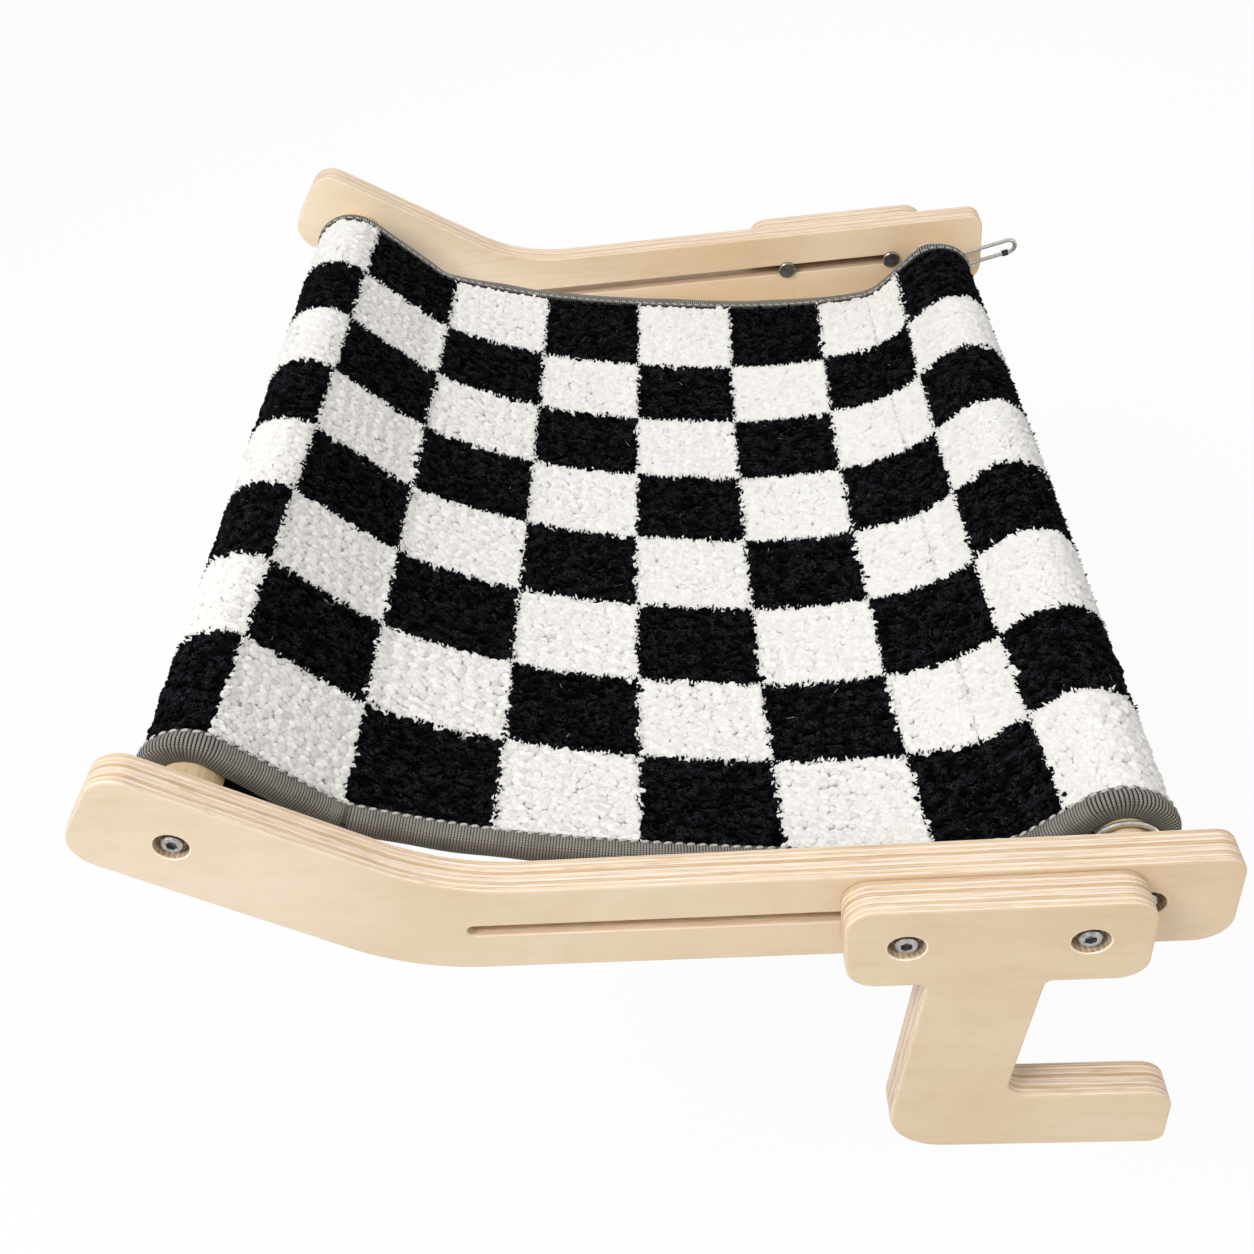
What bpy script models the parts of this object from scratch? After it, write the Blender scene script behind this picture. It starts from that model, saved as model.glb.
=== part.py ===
# Cat hammock shelf for a window sill.
# Two bent plywood arms lie on the sill and reach into the room.
# Two round dowels join them, and a thick fleece sheet hangs between the dowels.
# A plywood hook bolted through each arm's slot slides along it and grips under the sill.
# X runs from the room to the window, Y along the window, Z up. Lengths are in metres.
# The origin is the sill's top front edge, midway between the arms.

import math

import bmesh
import bpy
from mathutils import Matrix, Vector
from mathutils.geometry import tessellate_polygon

# Clearances
touch_gap = 0.0003
running_gap = 0.0004
ease = 0.0012
ease_steps = 2
mouth_ease = 0.0005
cut_steps = 20
corner_steps = 7
fine_corner_steps = 12

# Arms
arm_thickness = 0.018
arm_height = 0.058
arm_end_reach = 0.0842
arm_flat_length = 0.3789
arm_rise_length = 0.1807
arm_rise_width = 0.0626
arm_rise_angle = math.radians(34.2)
arm_bend_radius = 0.115
arm_tip_radius = 0.016
arm_heel_radius = 0.019
arm_end_top_radius = 0.010
arm_end_bottom_radius = 0.017
arms_apart = 0.584

# Slot in each arm's flat stretch
slot_length = 0.2854
slot_side_gap = 0.0002
slot_end_room = 0.0018

# Screw seats
seat_diameter = 0.0172
seat_depth = 0.0075

# Dowels
front_dowel_diameter = 0.030
rear_dowel_diameter = 0.024
front_dowel_setback = 0.0464
rear_dowel_setback = 0.0395
dowel_ease = 0.001
dowel_sides = 32

# Screws into the dowels, with their threaded inserts
screw_diameter = 0.006
screw_grip = 0.012
head_diameter = 0.0105
head_height = 0.0048
head_ease = 0.0007
key_width = 0.005
key_depth = 0.0028
insert_wall = 0.0016
insert_spare = 0.003

# Washers
washer_diameter = 0.0135
washer_thickness = 0.0012

# Hooks
hook_thickness = 0.018
hook_head_width = 0.133
hook_head_height = 0.0555
hook_head_reach = 0.0437
hook_head_radius = 0.014
hook_stem_width = 0.0527
hook_stem_lean = math.radians(7.3)
hook_notch_radius = 0.004
sill_room = 0.0975
hook_lip_thickness = 0.047
hook_lip_reach = 0.0682
hook_lip_top_radius = 0.014
hook_lip_bottom_radius = 0.008
hook_heel_radius = 0.027
hook_throat_radius = 0.010

# Hook bolts and their sleeve nuts
bolt_spacing = 0.079
bolt_diameter = 0.005
bolt_grip = 0.008
nut_flange_diameter = 0.013
nut_flange_thickness = 0.0024
nut_barrel_wall = 0.0008
nut_barrel_length = 0.012
nut_spare = 0.003

# Wire clips on the rear dowel
wire_diameter = 0.0032
near_wire_pitch = 0.0036
far_wire_pitch = 0.0080
wire_turns = 1.25
wire_slack = 0.0005
wire_turn_steps = 24
wire_sides = 8
clip_loop_reach = 0.0575
clip_loop_width = 0.010
clip_end_reach = 0.021
clip_tilt = math.radians(13)
near_clip_offset = 0.0139
far_clip_offset = 0.005
tip_wall = 0.0006
tip_length = 0.0045
tip_setback = 0.001

# Fleece sheet
sheet_thickness = 0.011
near_edge_setback = 0.0205
far_edge_setback = 0.0265
front_pocket_slack = 0.0
rear_pocket_slack = 0.0017
front_crease_run = 0.0624
front_crease_drop = 0.035
rear_crease_run = 0.0445
rear_crease_drop = 0.0158
crease_radius = 0.030
front_seam_setback = 0.006
rear_seam_setback = 0.004
sheet_sag = 0.016
sheet_sag_power = 2.6
sheet_middle_sag = 0.018
sheet_middle_power = 4
sheet_span_steps = 20
sheet_rows = 8
crease_steps = 4
pocket_step = math.radians(18)
seam_fit_rounds = 6

# Webbing on the sheet's two free edges
webbing_thickness = 0.0012
webbing_width = 0.009

# Places worked out from the sizes above
arm_end_x = arm_end_reach
arm_bend_x = arm_end_x - arm_flat_length
arm_outer_y = arms_apart / 2 + arm_thickness
rise_along = Vector((-math.cos(arm_rise_angle), math.sin(arm_rise_angle)))
rise_across = Vector((math.sin(arm_rise_angle), math.cos(arm_rise_angle)))
arm_bend = Vector((arm_bend_x, 0))
front_dowel = arm_bend + rise_along * (arm_rise_length - front_dowel_setback) + rise_across * arm_rise_width / 2
rear_dowel = Vector((arm_end_x - rear_dowel_setback, arm_height / 2))
slot_z = arm_height / 2
head_end_x = hook_head_reach
head_start_x = head_end_x - hook_head_width
head_middle_x = head_end_x - hook_head_width / 2
bolt_xs = (head_middle_x - bolt_spacing / 2, head_middle_x + bolt_spacing / 2)
screw_hole_diameter = screw_diameter + 2 * touch_gap
bolt_barrel_diameter = bolt_diameter + 2 * touch_gap + 2 * nut_barrel_wall
hook_back = -touch_gap
hook_front = hook_back - hook_thickness
hook_hole_diameter = bolt_diameter + 2 * touch_gap
slot_height = bolt_barrel_diameter + 2 * slot_side_gap
slot_end_x = bolt_xs[1] + bolt_barrel_diameter / 2 + slot_end_room
washer_hole_diameter = screw_hole_diameter

sharp_angle = math.radians(35)

SIDES = {"near": -1, "far": 1}
edge_setbacks = {"near": near_edge_setback, "far": far_edge_setback}

for old in list(bpy.data.objects):
    bpy.data.objects.remove(old)


def finish(name, color, metallic, roughness):
    material = bpy.data.materials.new(name)
    material.use_nodes = True
    shader = material.node_tree.nodes["Principled BSDF"]
    shader.inputs["Base Color"].default_value = (*color, 1)
    shader.inputs["Metallic"].default_value = metallic
    shader.inputs["Roughness"].default_value = roughness
    return material


birch = finish("birch_plywood", (0.82, 0.66, 0.47), 0, 0.5)
beech = finish("turned_dowel", (0.85, 0.68, 0.46), 0, 0.5)
bright_steel = finish("bright_steel", (0.72, 0.72, 0.70), 1, 0.28)
dark_steel = finish("dark_steel", (0.28, 0.27, 0.25), 1, 0.4)
brass = finish("brass", (0.75, 0.58, 0.28), 1, 0.35)
black_rubber = finish("black_rubber", (0.03, 0.03, 0.03), 0, 0.7)
fleece = finish("checked_fleece", (0.55, 0.55, 0.55), 0, 0.95)
webbing = finish("grey_webbing", (0.32, 0.31, 0.30), 0, 0.85)


def depth_y(side, depth):
    """Y of a point this far in from an arm's outer face."""
    return SIDES[side] * (arm_outer_y - depth)


def build(name, points, faces, material, origin=(0, 0, 0), parent=None):
    """Makes one closed mesh object with its origin at the given point."""
    origin = Vector(origin)
    mesh = bpy.data.meshes.new(name)
    mesh.from_pydata([Vector(p) - origin for p in points], [], faces)
    shell = bmesh.new()
    shell.from_mesh(mesh)
    bmesh.ops.recalc_face_normals(shell, faces=shell.faces)
    shell.to_mesh(mesh)
    shell.free()
    mesh.materials.append(material)
    mesh.shade_smooth()
    mesh.set_sharp_from_angle(angle=sharp_angle)
    made = bpy.data.objects.new(name, mesh)
    made.location = origin
    if parent:
        made.parent = parent
        made.location = origin - parent.location
    bpy.context.scene.collection.objects.link(made)
    return made


def rounded(corners, closed=True, steps=corner_steps):
    """Rounds the corners (x, z, radius) of an outline or an open path with arcs."""
    path = []
    count = len(corners)
    for i, (x, z, radius) in enumerate(corners):
        here = Vector((x, z))
        if radius == 0 or (not closed and i in (0, count - 1)):
            path.append(here)
            continue
        before = Vector(corners[i - 1][:2])
        after = Vector(corners[(i + 1) % count][:2])
        into = (before - here).normalized()
        out = (after - here).normalized()
        half = into.angle(out) / 2
        reach = radius / math.tan(half)
        centre = here + (into + out).normalized() * radius / math.sin(half)
        start = here + into * reach - centre
        turn = math.pi - 2 * half
        if into.x * out.y - into.y * out.x > 0:
            turn = -turn
        for step in range(steps + 1):
            spun = start.copy()
            spun.rotate(Matrix.Rotation(turn * step / steps, 2))
            path.append(centre + spun)
    return path


def circle(centre, diameter, steps=cut_steps):
    """Points of a circle in the X-Z plane."""
    turns = [2 * math.pi * i / steps for i in range(steps)]
    return [Vector(centre) + Vector((math.cos(a), math.sin(a))) * diameter / 2 for a in turns]


def hexagon(width):
    """Points of a hexagon of this width across its flats, about the axis."""
    radius = width / math.sqrt(3)
    turns = [math.radians(60 * i + 30) for i in range(6)]
    return [Vector((math.cos(a), math.sin(a))) * radius for a in turns]


def slot_outline():
    """Round-ended slot in the arm's flat stretch."""
    end = slot_end_x - slot_height / 2
    start = slot_end_x - slot_length + slot_height / 2
    half_turn = cut_steps // 2
    path = []
    for centre_x, first in ((end, -math.pi / 2), (start, math.pi / 2)):
        for i in range(half_turn + 1):
            a = first + math.pi * i / half_turn
            path.append(Vector((centre_x, slot_z)) + Vector((math.cos(a), math.sin(a))) * slot_height / 2)
    return path


def inset(outline, amount):
    """Moves a closed outline's points inwards by this much."""
    area = sum(
        a.x * b.y - b.x * a.y for a, b in zip(outline, outline[1:] + outline[:1])
    )
    sign = 1 if area > 0 else -1
    moved = []
    for i, here in enumerate(outline):
        before, after = outline[i - 1], outline[(i + 1) % len(outline)]
        along = ((here - before).normalized() + (after - here).normalized()).normalized()
        cut = max((here - before).normalized().dot(along), 0.5)
        moved.append(here + Vector((-along.y, along.x)) * sign * amount / cut)
    return moved


class Solid:
    """Collects the points and faces of one solid from flat outlines at stated depths."""

    def __init__(self, side):
        self.side = side
        self.points = []
        self.faces = []

    def ring(self, outline, depth):
        start = len(self.points)
        y = depth_y(self.side, depth)
        self.points += [Vector((p.x, y, p.y)) for p in outline]
        return list(range(start, start + len(outline)))

    def wall(self, first, second):
        for i, corner in enumerate(first):
            self.faces.append((first[i - 1], corner, second[i], second[i - 1]))

    def cap(self, *rings):
        order = [i for ring in rings for i in ring]
        flat = [[Vector((self.points[i].x, self.points[i].z, 0)) for i in ring] for ring in rings]
        self.faces += [tuple(order[i] for i in face) for face in tessellate_polygon(flat)]


def plate(name, side, outline, holes, front, thickness, material, origin=(0, 0, 0)):
    """A board with eased edges. Each hole is (front outline, back outline, seat depth)."""
    solid = Solid(side)
    back = front + thickness
    round_turns = [math.pi / 2 * step / ease_steps for step in range(ease_steps + 1)]
    edge = [(ease * (1 - math.sin(a)), ease * (1 - math.cos(a))) for a in round_turns]
    rings = [solid.ring(inset(outline, shrink), front + run) for shrink, run in edge]
    rings += [solid.ring(inset(outline, shrink), back - run) for shrink, run in reversed(edge)]
    for first, second in zip(rings, rings[1:]):
        solid.wall(first, second)
    front_holes, back_holes = [], []
    for wide, narrow, seat in holes:
        mouth = solid.ring(inset(wide, -mouth_ease), front)
        lip = solid.ring(wide, front + mouth_ease)
        back_lip = solid.ring(narrow, back - mouth_ease)
        back_mouth = solid.ring(inset(narrow, -mouth_ease), back)
        solid.wall(mouth, lip)
        if seat:
            floor = solid.ring(wide, front + seat)
            step = solid.ring(narrow, front + seat)
            solid.wall(lip, floor)
            solid.cap(floor, step)
            solid.wall(step, back_lip)
        else:
            solid.wall(lip, back_lip)
        solid.wall(back_lip, back_mouth)
        front_holes.append(mouth)
        back_holes.append(back_mouth)
    solid.cap(rings[0], *front_holes)
    solid.cap(rings[-1], *back_holes)
    return build(name, solid.points, solid.faces, material, origin)


def turned(name, side, centre, profile, material, key=None, parent=None):
    """A solid turned about a line along Y. The profile is (diameter, depth) from one end to the other.
    A profile that starts and ends on the same point makes a tube, and one that starts and ends at
    diameter zero is solid. A key (width, depth) cuts a hexagon into the first end."""
    solid = Solid(side)
    tube = profile[0] == profile[-1]
    body = profile[:-1] if tube else [p for p in profile if p[0] > 0]
    rings = [solid.ring(circle(centre, d), depth) for d, depth in body]
    for first, second in zip(rings, rings[1:]):
        solid.wall(first, second)
    if tube:
        solid.wall(rings[-1], rings[0])
    else:
        if key:
            width, key_depth_here = key
            hexed = [Vector(centre) + p for p in hexagon(width)]
            top = solid.ring(hexed, body[0][1])
            floor = solid.ring(hexed, body[0][1] + key_depth_here)
            solid.cap(rings[0], top)
            solid.wall(top, floor)
            solid.faces.append(tuple(floor))
        else:
            solid.faces.append(tuple(rings[0]))
        solid.faces.append(tuple(rings[-1]))
    origin = (centre.x, depth_y(side, profile[0][1]), centre.y)
    return build(name, solid.points, solid.faces, material, origin, parent)


def arm_outline():
    heel = arm_bend + rise_along * arm_rise_length
    tip = heel + rise_across * arm_rise_width
    upper_bend_along = (arm_height - tip.y) / rise_along.y
    upper_bend = tip + rise_along * upper_bend_along
    return rounded(
        [
            (arm_bend.x, arm_bend.y, arm_bend_radius),
            (arm_end_x, 0, arm_end_bottom_radius),
            (arm_end_x, arm_height, arm_end_top_radius),
            (upper_bend.x, upper_bend.y, arm_bend_radius),
            (tip.x, tip.y, arm_tip_radius),
            (heel.x, heel.y, arm_heel_radius),
        ],
        steps=fine_corner_steps,
    )


def hook_outline():
    stem_run = math.tan(hook_stem_lean)
    lip_top = -sill_room
    lip_bottom = lip_top - hook_lip_thickness
    stem_back_x = -hook_stem_width
    return rounded(
        [
            (head_start_x, 0, hook_head_radius),
            (stem_back_x, 0, hook_notch_radius),
            (stem_back_x + lip_bottom * stem_run, lip_bottom, hook_heel_radius),
            (hook_lip_reach, lip_bottom, hook_lip_bottom_radius),
            (hook_lip_reach, lip_top, hook_lip_top_radius),
            (lip_top * stem_run, lip_top, hook_throat_radius),
            (0, 0, hook_notch_radius),
            (head_end_x, 0, hook_head_radius),
            (head_end_x, hook_head_height, hook_head_radius),
            (head_start_x, hook_head_height, hook_head_radius),
        ]
    )


def seat(centre, hole_diameter):
    return circle(centre, seat_diameter), circle(centre, hole_diameter), seat_depth


def make_screw(name, side, centre, head_depth, diameter, length, parent=None):
    """Socket-head screw. Its head's outer face lies at head_depth, and length is under the head."""
    under = head_depth + head_height
    tip = under + length
    profile = [
        (head_diameter - 2 * head_ease, head_depth),
        (head_diameter, head_depth + head_ease),
        (head_diameter, under),
        (diameter, under),
        (diameter, tip - head_ease),
        (diameter - 2 * head_ease, tip),
    ]
    return turned(name, side, centre, profile, bright_steel, (key_width, key_depth), parent)


def make_tube(name, side, centre, inner, outer, first, last, material, parent=None):
    profile = [(inner, first), (outer, first), (outer, last), (inner, last), (inner, first)]
    return turned(name, side, centre, profile, material, None, parent)


def make_arms():
    outline = arm_outline()
    slot = slot_outline()
    holes = [
        seat(front_dowel, screw_hole_diameter),
        seat(rear_dowel, screw_hole_diameter),
        (slot, slot, None),
    ]
    for side in SIDES:
        plate(f"{side}_arm", side, outline, holes, 0, arm_thickness, birch)


def make_hooks():
    outline = hook_outline()
    holes = [seat((x, slot_z), hook_hole_diameter) for x in bolt_xs]
    hooks = {}
    for side in SIDES:
        origin = (head_middle_x, depth_y(side, hook_back), slot_z)
        hooks[side] = plate(
            f"{side}_hook", side, outline, holes, hook_front, hook_thickness, birch, origin
        )
    return hooks


def make_dowels():
    insert_diameter = screw_hole_diameter + 2 * insert_wall
    hole = insert_diameter + 2 * touch_gap
    hole_depth = screw_grip + insert_spare + touch_gap
    first = arm_thickness + touch_gap
    last = 2 * arm_outer_y - first
    for name, centre, diameter in (
        ("front_dowel", front_dowel, front_dowel_diameter),
        ("rear_dowel", rear_dowel, rear_dowel_diameter),
    ):
        solid = Solid("near")
        spots = [
            (hole, first + hole_depth),
            (hole, first),
            (diameter - 2 * dowel_ease, first),
            (diameter, first + dowel_ease),
            (diameter, last - dowel_ease),
            (diameter - 2 * dowel_ease, last),
            (hole, last),
            (hole, last - hole_depth),
        ]
        rings = [solid.ring(circle(centre, d, dowel_sides), depth) for d, depth in spots]
        for here, there in zip(rings, rings[1:]):
            solid.wall(here, there)
        solid.faces += [tuple(rings[0]), tuple(rings[-1])]
        build(name, solid.points, solid.faces, beech)


def make_dowel_fixings():
    floor = seat_depth
    washer_first = floor - washer_thickness - touch_gap
    head_first = washer_first - touch_gap - head_height
    wood_left = arm_thickness - floor
    length = wood_left + washer_thickness + 3 * touch_gap + screw_grip
    insert_first = arm_thickness + 2 * touch_gap
    insert_last = insert_first + screw_grip + insert_spare - touch_gap
    for side in SIDES:
        for place, centre in (("front", front_dowel), ("rear", rear_dowel)):
            name = f"{side}_{place}"
            make_screw(f"{name}_screw", side, centre, head_first, screw_diameter, length)
            make_tube(
                f"{name}_washer", side, centre, washer_hole_diameter, washer_diameter,
                washer_first, washer_first + washer_thickness, bright_steel,
            )
            make_tube(
                f"{name}_insert", side, centre, screw_hole_diameter,
                screw_hole_diameter + 2 * insert_wall, insert_first, insert_last, brass,
            )


def make_nut(name, side, centre, parent):
    """Sleeve nut: a flat flange on the arm's inner face and a barrel through the slot."""
    seat_face = arm_thickness + touch_gap
    outer = seat_face + nut_flange_thickness
    mouth = seat_face - nut_barrel_length
    hole = bolt_diameter + 2 * touch_gap
    solid = Solid(side)
    spots = [
        (hole, mouth + bolt_grip + nut_spare),
        (hole, mouth),
        (bolt_barrel_diameter, mouth),
        (bolt_barrel_diameter, seat_face),
        (nut_flange_diameter, seat_face),
        (nut_flange_diameter, outer - head_ease),
        (nut_flange_diameter - 2 * head_ease, outer),
    ]
    rings = [solid.ring(circle(centre, d), depth) for d, depth in spots]
    for first, second in zip(rings, rings[1:]):
        solid.wall(first, second)
    solid.faces += [tuple(rings[0]), tuple(rings[-1])]
    origin = (centre.x, depth_y(side, seat_face), centre.y)
    build(name, solid.points, solid.faces, dark_steel, origin, parent)


def make_hook_fixings(hooks):
    floor = hook_front + seat_depth
    washer_first = floor - washer_thickness - touch_gap
    head_first = washer_first - touch_gap - head_height
    nut_mouth = arm_thickness + touch_gap - nut_barrel_length
    length = nut_mouth + bolt_grip - head_first - head_height
    for side, hook in hooks.items():
        for place, x in zip(("room", "window"), bolt_xs):
            name = f"{side}_{place}"
            centre = Vector((x, slot_z))
            make_screw(f"{name}_bolt", side, centre, head_first, bolt_diameter, length, hook)
            make_tube(
                f"{name}_washer", side, centre, hook_hole_diameter, washer_diameter,
                washer_first, washer_first + washer_thickness, bright_steel, hook,
            )
            make_nut(f"{name}_nut", side, centre, hook)


def clip_path(side, depth, pointing, pitch):
    """Middle line of a wire clip: a free end, a narrow loop, then turns round the dowel."""
    coil_radius = rear_dowel_diameter / 2 + running_gap + wire_slack + wire_diameter / 2
    lower = -coil_radius
    upper = lower + clip_loop_width
    flat = [Vector((clip_end_reach, upper)), Vector((clip_loop_reach, upper))]
    loop_centre = Vector((clip_loop_reach, (lower + upper) / 2))
    loop_steps = wire_turn_steps // 2
    for i in range(1, loop_steps):
        a = math.pi / 2 - math.pi * i / loop_steps
        flat.append(loop_centre + Vector((math.cos(a), math.sin(a))) * clip_loop_width / 2)
    flat += [Vector((clip_loop_reach, lower)), Vector((coil_radius, lower))]
    path = [(p, 0.0) for p in flat]
    coil_steps = round(wire_turns * wire_turn_steps)
    for i in range(coil_steps + 1):
        turns = i / wire_turn_steps
        a = -math.pi / 2 - 2 * math.pi * turns
        path.append((Vector((math.cos(a), math.sin(a))) * coil_radius, pitch * turns))
    spin = Matrix.Rotation(pointing, 2)
    points = []
    for p, along in path:
        spun = p.copy()
        spun.rotate(spin)
        if side == "near":
            spun.x = -spun.x
        placed = rear_dowel + spun
        points.append(Vector((placed.x, depth_y(side, depth + along), placed.y)))
    return points


def tube_along(name, path, diameter, sides, material, origin):
    """A round wire along a path, with flat ends."""
    rings, points, faces = [], [], []
    normal = Vector((0, 1, 0))
    for i, here in enumerate(path):
        ahead = path[min(i + 1, len(path) - 1)]
        behind = path[max(i - 1, 0)]
        along = (ahead - behind).normalized()
        normal = (normal - along * normal.dot(along)).normalized()
        side_way = along.cross(normal)
        ring = []
        for j in range(sides):
            a = 2 * math.pi * j / sides
            ring.append(len(points))
            points.append(here + (normal * math.cos(a) + side_way * math.sin(a)) * diameter / 2)
        rings.append(ring)
    for first, second in zip(rings, rings[1:]):
        for i, corner in enumerate(first):
            faces.append((first[i - 1], corner, second[i], second[i - 1]))
    faces += [tuple(rings[0]), tuple(rings[-1])]
    return build(name, points, faces, material, origin)


def least_gap(path, diameter, apart):
    """Smallest clear space between stretches of a wire that are at least this many points apart."""
    return min(
        (a - b).length - diameter
        for i, a in enumerate(path)
        for b in path[i + apart:]
    )


def make_clips():
    for side, offset, pitch in (
        ("near", near_clip_offset, near_wire_pitch),
        ("far", far_clip_offset, far_wire_pitch),
    ):
        depth = arm_thickness + offset
        path = clip_path(side, depth, clip_tilt, pitch)
        origin = (rear_dowel.x, depth_y(side, depth), rear_dowel.y)
        clip = tube_along(f"{side}_clip", path, wire_diameter, wire_sides, bright_steel, origin)
        gap = least_gap(path, wire_diameter, wire_turn_steps // 2)
        print(f"{side}_clip least gap to itself {gap * 1000:.2f} mm")
        loop_end = 2 + wire_turn_steps // 2 - 1
        along = (path[loop_end + 1] - path[loop_end]).normalized()
        start = path[loop_end] + along * tip_setback
        make_tip(f"{side}_clip_tip", start, along, origin, clip)


def make_tip(name, start, along, origin, clip):
    """Short rubber sleeve pushed along the clip's wire."""
    inner = wire_diameter / 2 + touch_gap / 2
    outer = inner + tip_wall
    across = Vector((0, 1, 0))
    up = along.cross(across)
    points, faces, rings = [], [], []
    for radius, run in ((inner, 0), (outer, 0), (outer, tip_length), (inner, tip_length)):
        ring = []
        for i in range(cut_steps):
            a = 2 * math.pi * i / cut_steps
            ring.append(len(points))
            points.append(start + along * run + (across * math.cos(a) + up * math.sin(a)) * radius)
        rings.append(ring)
    for first, second in zip(rings, rings[1:] + rings[:1]):
        for i, corner in enumerate(first):
            faces.append((first[i - 1], corner, second[i], second[i - 1]))
    build(name, points, faces, black_rubber, origin, clip)


def around(centre, radius, start, end):
    """Points of an arc between two angles, turning the left way round."""
    steps = max(3, round(abs(end - start) / pocket_step))
    turns = [start + (end - start) * i / steps for i in range(steps + 1)]
    return [centre + Vector((math.cos(a), math.sin(a))) * radius for a in turns]


def pocket(centre, radius, crease, seam_setback, mirror):
    """Middle line of one dowel pocket, from the crease round the dowel to the seam's end.
    The line is worked out for the front dowel, and mirrored in X for the rear one."""
    flip = -1 if mirror else 1
    to_crease = Vector(((crease.x - centre.x) * flip, crease.y - centre.y))
    reach = to_crease.length
    heading = math.atan2(to_crease.y, to_crease.x)
    upper_way = heading - math.asin(radius / reach)
    start = upper_way + math.pi / 2
    along = Vector((math.cos(upper_way), math.sin(upper_way)))
    down = Vector((along.y, -along.x))
    half = sheet_thickness / 2
    lower_way = upper_way
    for _ in range(seam_fit_rounds):
        below = half + touch_gap + half * math.cos(lower_way - upper_way)
        seam_end = to_crease - along * seam_setback + down * below
        seam_heading = math.atan2(seam_end.y, seam_end.x)
        lower_way = seam_heading + math.asin(radius / seam_end.length)
    end = lower_way - math.pi / 2 + 2 * math.pi
    line = around(Vector((0, 0)), radius, start, end) + [seam_end]
    return [Vector((centre.x + p.x * flip, centre.y + p.y)) for p in line]


def sheet_line():
    """Middle line of the sheet from the front seam to the rear seam, with each point's share of sag."""
    half = sheet_thickness / 2
    front_radius = front_dowel_diameter / 2 + touch_gap + front_pocket_slack + half
    rear_inner = rear_dowel_diameter / 2 + touch_gap + rear_pocket_slack
    rear_centre = rear_dowel - Vector((0, rear_pocket_slack))
    front_crease = front_dowel + Vector((front_crease_run, -front_crease_drop))
    rear_crease = rear_dowel + Vector((-rear_crease_run, -rear_crease_drop))
    front = pocket(front_dowel, front_radius, front_crease, front_seam_setback, False)
    rear = pocket(rear_centre, rear_inner + half, rear_crease, rear_seam_setback, True)
    front = [(p, 0.0) for p in reversed(front)]
    rear = [(p, 0.0) for p in rear]
    span = []
    for i in range(sheet_span_steps + 1):
        share = i / sheet_span_steps
        drop = 1 - abs(2 * share - 1) ** sheet_sag_power
        level = front_crease.lerp(rear_crease, share)
        span.append((level - Vector((0, sheet_sag * drop)), drop))
    creases = (len(front), len(front) + sheet_span_steps)
    return smoothed(front + span + rear, creases)


def smoothed(line, creases):
    """Rounds the sheet's middle line at its two creases."""
    result = []
    for i, (point, drop) in enumerate(line):
        if i in creases:
            before, after = line[i - 1][0], line[i + 1][0]
            into, out = (before - point).normalized(), (after - point).normalized()
            half = into.angle(out) / 2
            reach = crease_radius / math.tan(half)
            start, end = point + into * reach, point + out * reach
            for step in range(crease_steps + 1):
                t = step / crease_steps
                bent = start.lerp(point, t).lerp(point.lerp(end, t), t)
                result.append((bent, drop))
        else:
            result.append((point, drop))
    return result


def offsets(line):
    """Unit normals of the middle line, pointing to the sheet's outer, upper side."""
    normals = []
    for i in range(len(line)):
        before = line[max(i - 1, 0)][0]
        after = line[min(i + 1, len(line) - 1)][0]
        here = line[i][0]
        ways = []
        if i > 0:
            ways.append((here - before).normalized())
        if i < len(line) - 1:
            ways.append((after - here).normalized())
        along = sum(ways, Vector((0, 0))).normalized()
        normals.append(Vector((-along.y, along.x)) / along.dot(ways[0]))
    return normals


def make_sheet():
    line = sheet_line()
    normals = offsets(line)
    inset_from_edge = webbing_thickness + touch_gap
    near_y, far_y = (
        depth_y(side, arm_thickness + edge_setbacks[side] + inset_from_edge) for side in ("near", "far")
    )
    points, faces = [], []
    columns = 2 * len(line)
    for row in range(sheet_rows + 1):
        across = 2 * row / sheet_rows - 1
        y = near_y + (far_y - near_y) * row / sheet_rows
        middle = 1 - abs(across) ** sheet_middle_power
        loop = []
        for (point, drop), normal in zip(line, normals):
            low = Vector((0, sheet_middle_sag * drop * middle))
            loop.append(point - low + normal * sheet_thickness / 2)
        for (point, drop), normal in reversed(list(zip(line, normals))):
            low = Vector((0, sheet_middle_sag * drop * middle))
            loop.append(point - low - normal * sheet_thickness / 2)
        points += [Vector((p.x, y, p.y)) for p in loop]
    for row in range(sheet_rows):
        for i in range(columns):
            j = (i + 1) % columns
            a, b = row * columns, (row + 1) * columns
            faces.append((a + i, a + j, b + j, b + i))
    for start in (0, sheet_rows * columns):
        for i in range(len(line) - 1):
            far_i = columns - 1 - i
            faces.append((start + i, start + i + 1, start + far_i - 1, start + far_i))
    build("hammock_sheet", points, faces, fleece)


def make_webbing():
    line = sheet_line()
    normals = offsets(line)
    half = sheet_thickness / 2
    for side in SIDES:
        edge = edge_setbacks[side] + webbing_thickness
        shape = [
            (-half, edge - webbing_thickness),
            (half + touch_gap + webbing_thickness, edge - webbing_thickness),
            (half + touch_gap + webbing_thickness, edge + webbing_width),
            (half + touch_gap, edge + webbing_width),
            (half + touch_gap, edge),
            (-half, edge),
        ]
        points, faces = [], []
        for (point, _), normal in zip(line, normals):
            for out, inward in shape:
                spot = point + normal * out
                points.append(Vector((spot.x, depth_y(side, arm_thickness + inward), spot.y)))
        count = len(shape)
        for i in range(len(line) - 1):
            for j in range(count):
                k = (j + 1) % count
                a, b = i * count, (i + 1) * count
                faces.append((a + j, a + k, b + k, b + j))
        faces += [tuple(range(count)), tuple(range(len(points) - count, len(points)))]
        build(f"{side}_webbing", points, faces, webbing)


make_arms()
moving_hooks = make_hooks()
make_dowels()
make_dowel_fixings()
make_hook_fixings(moving_hooks)
make_clips()
make_sheet()
make_webbing()
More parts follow.
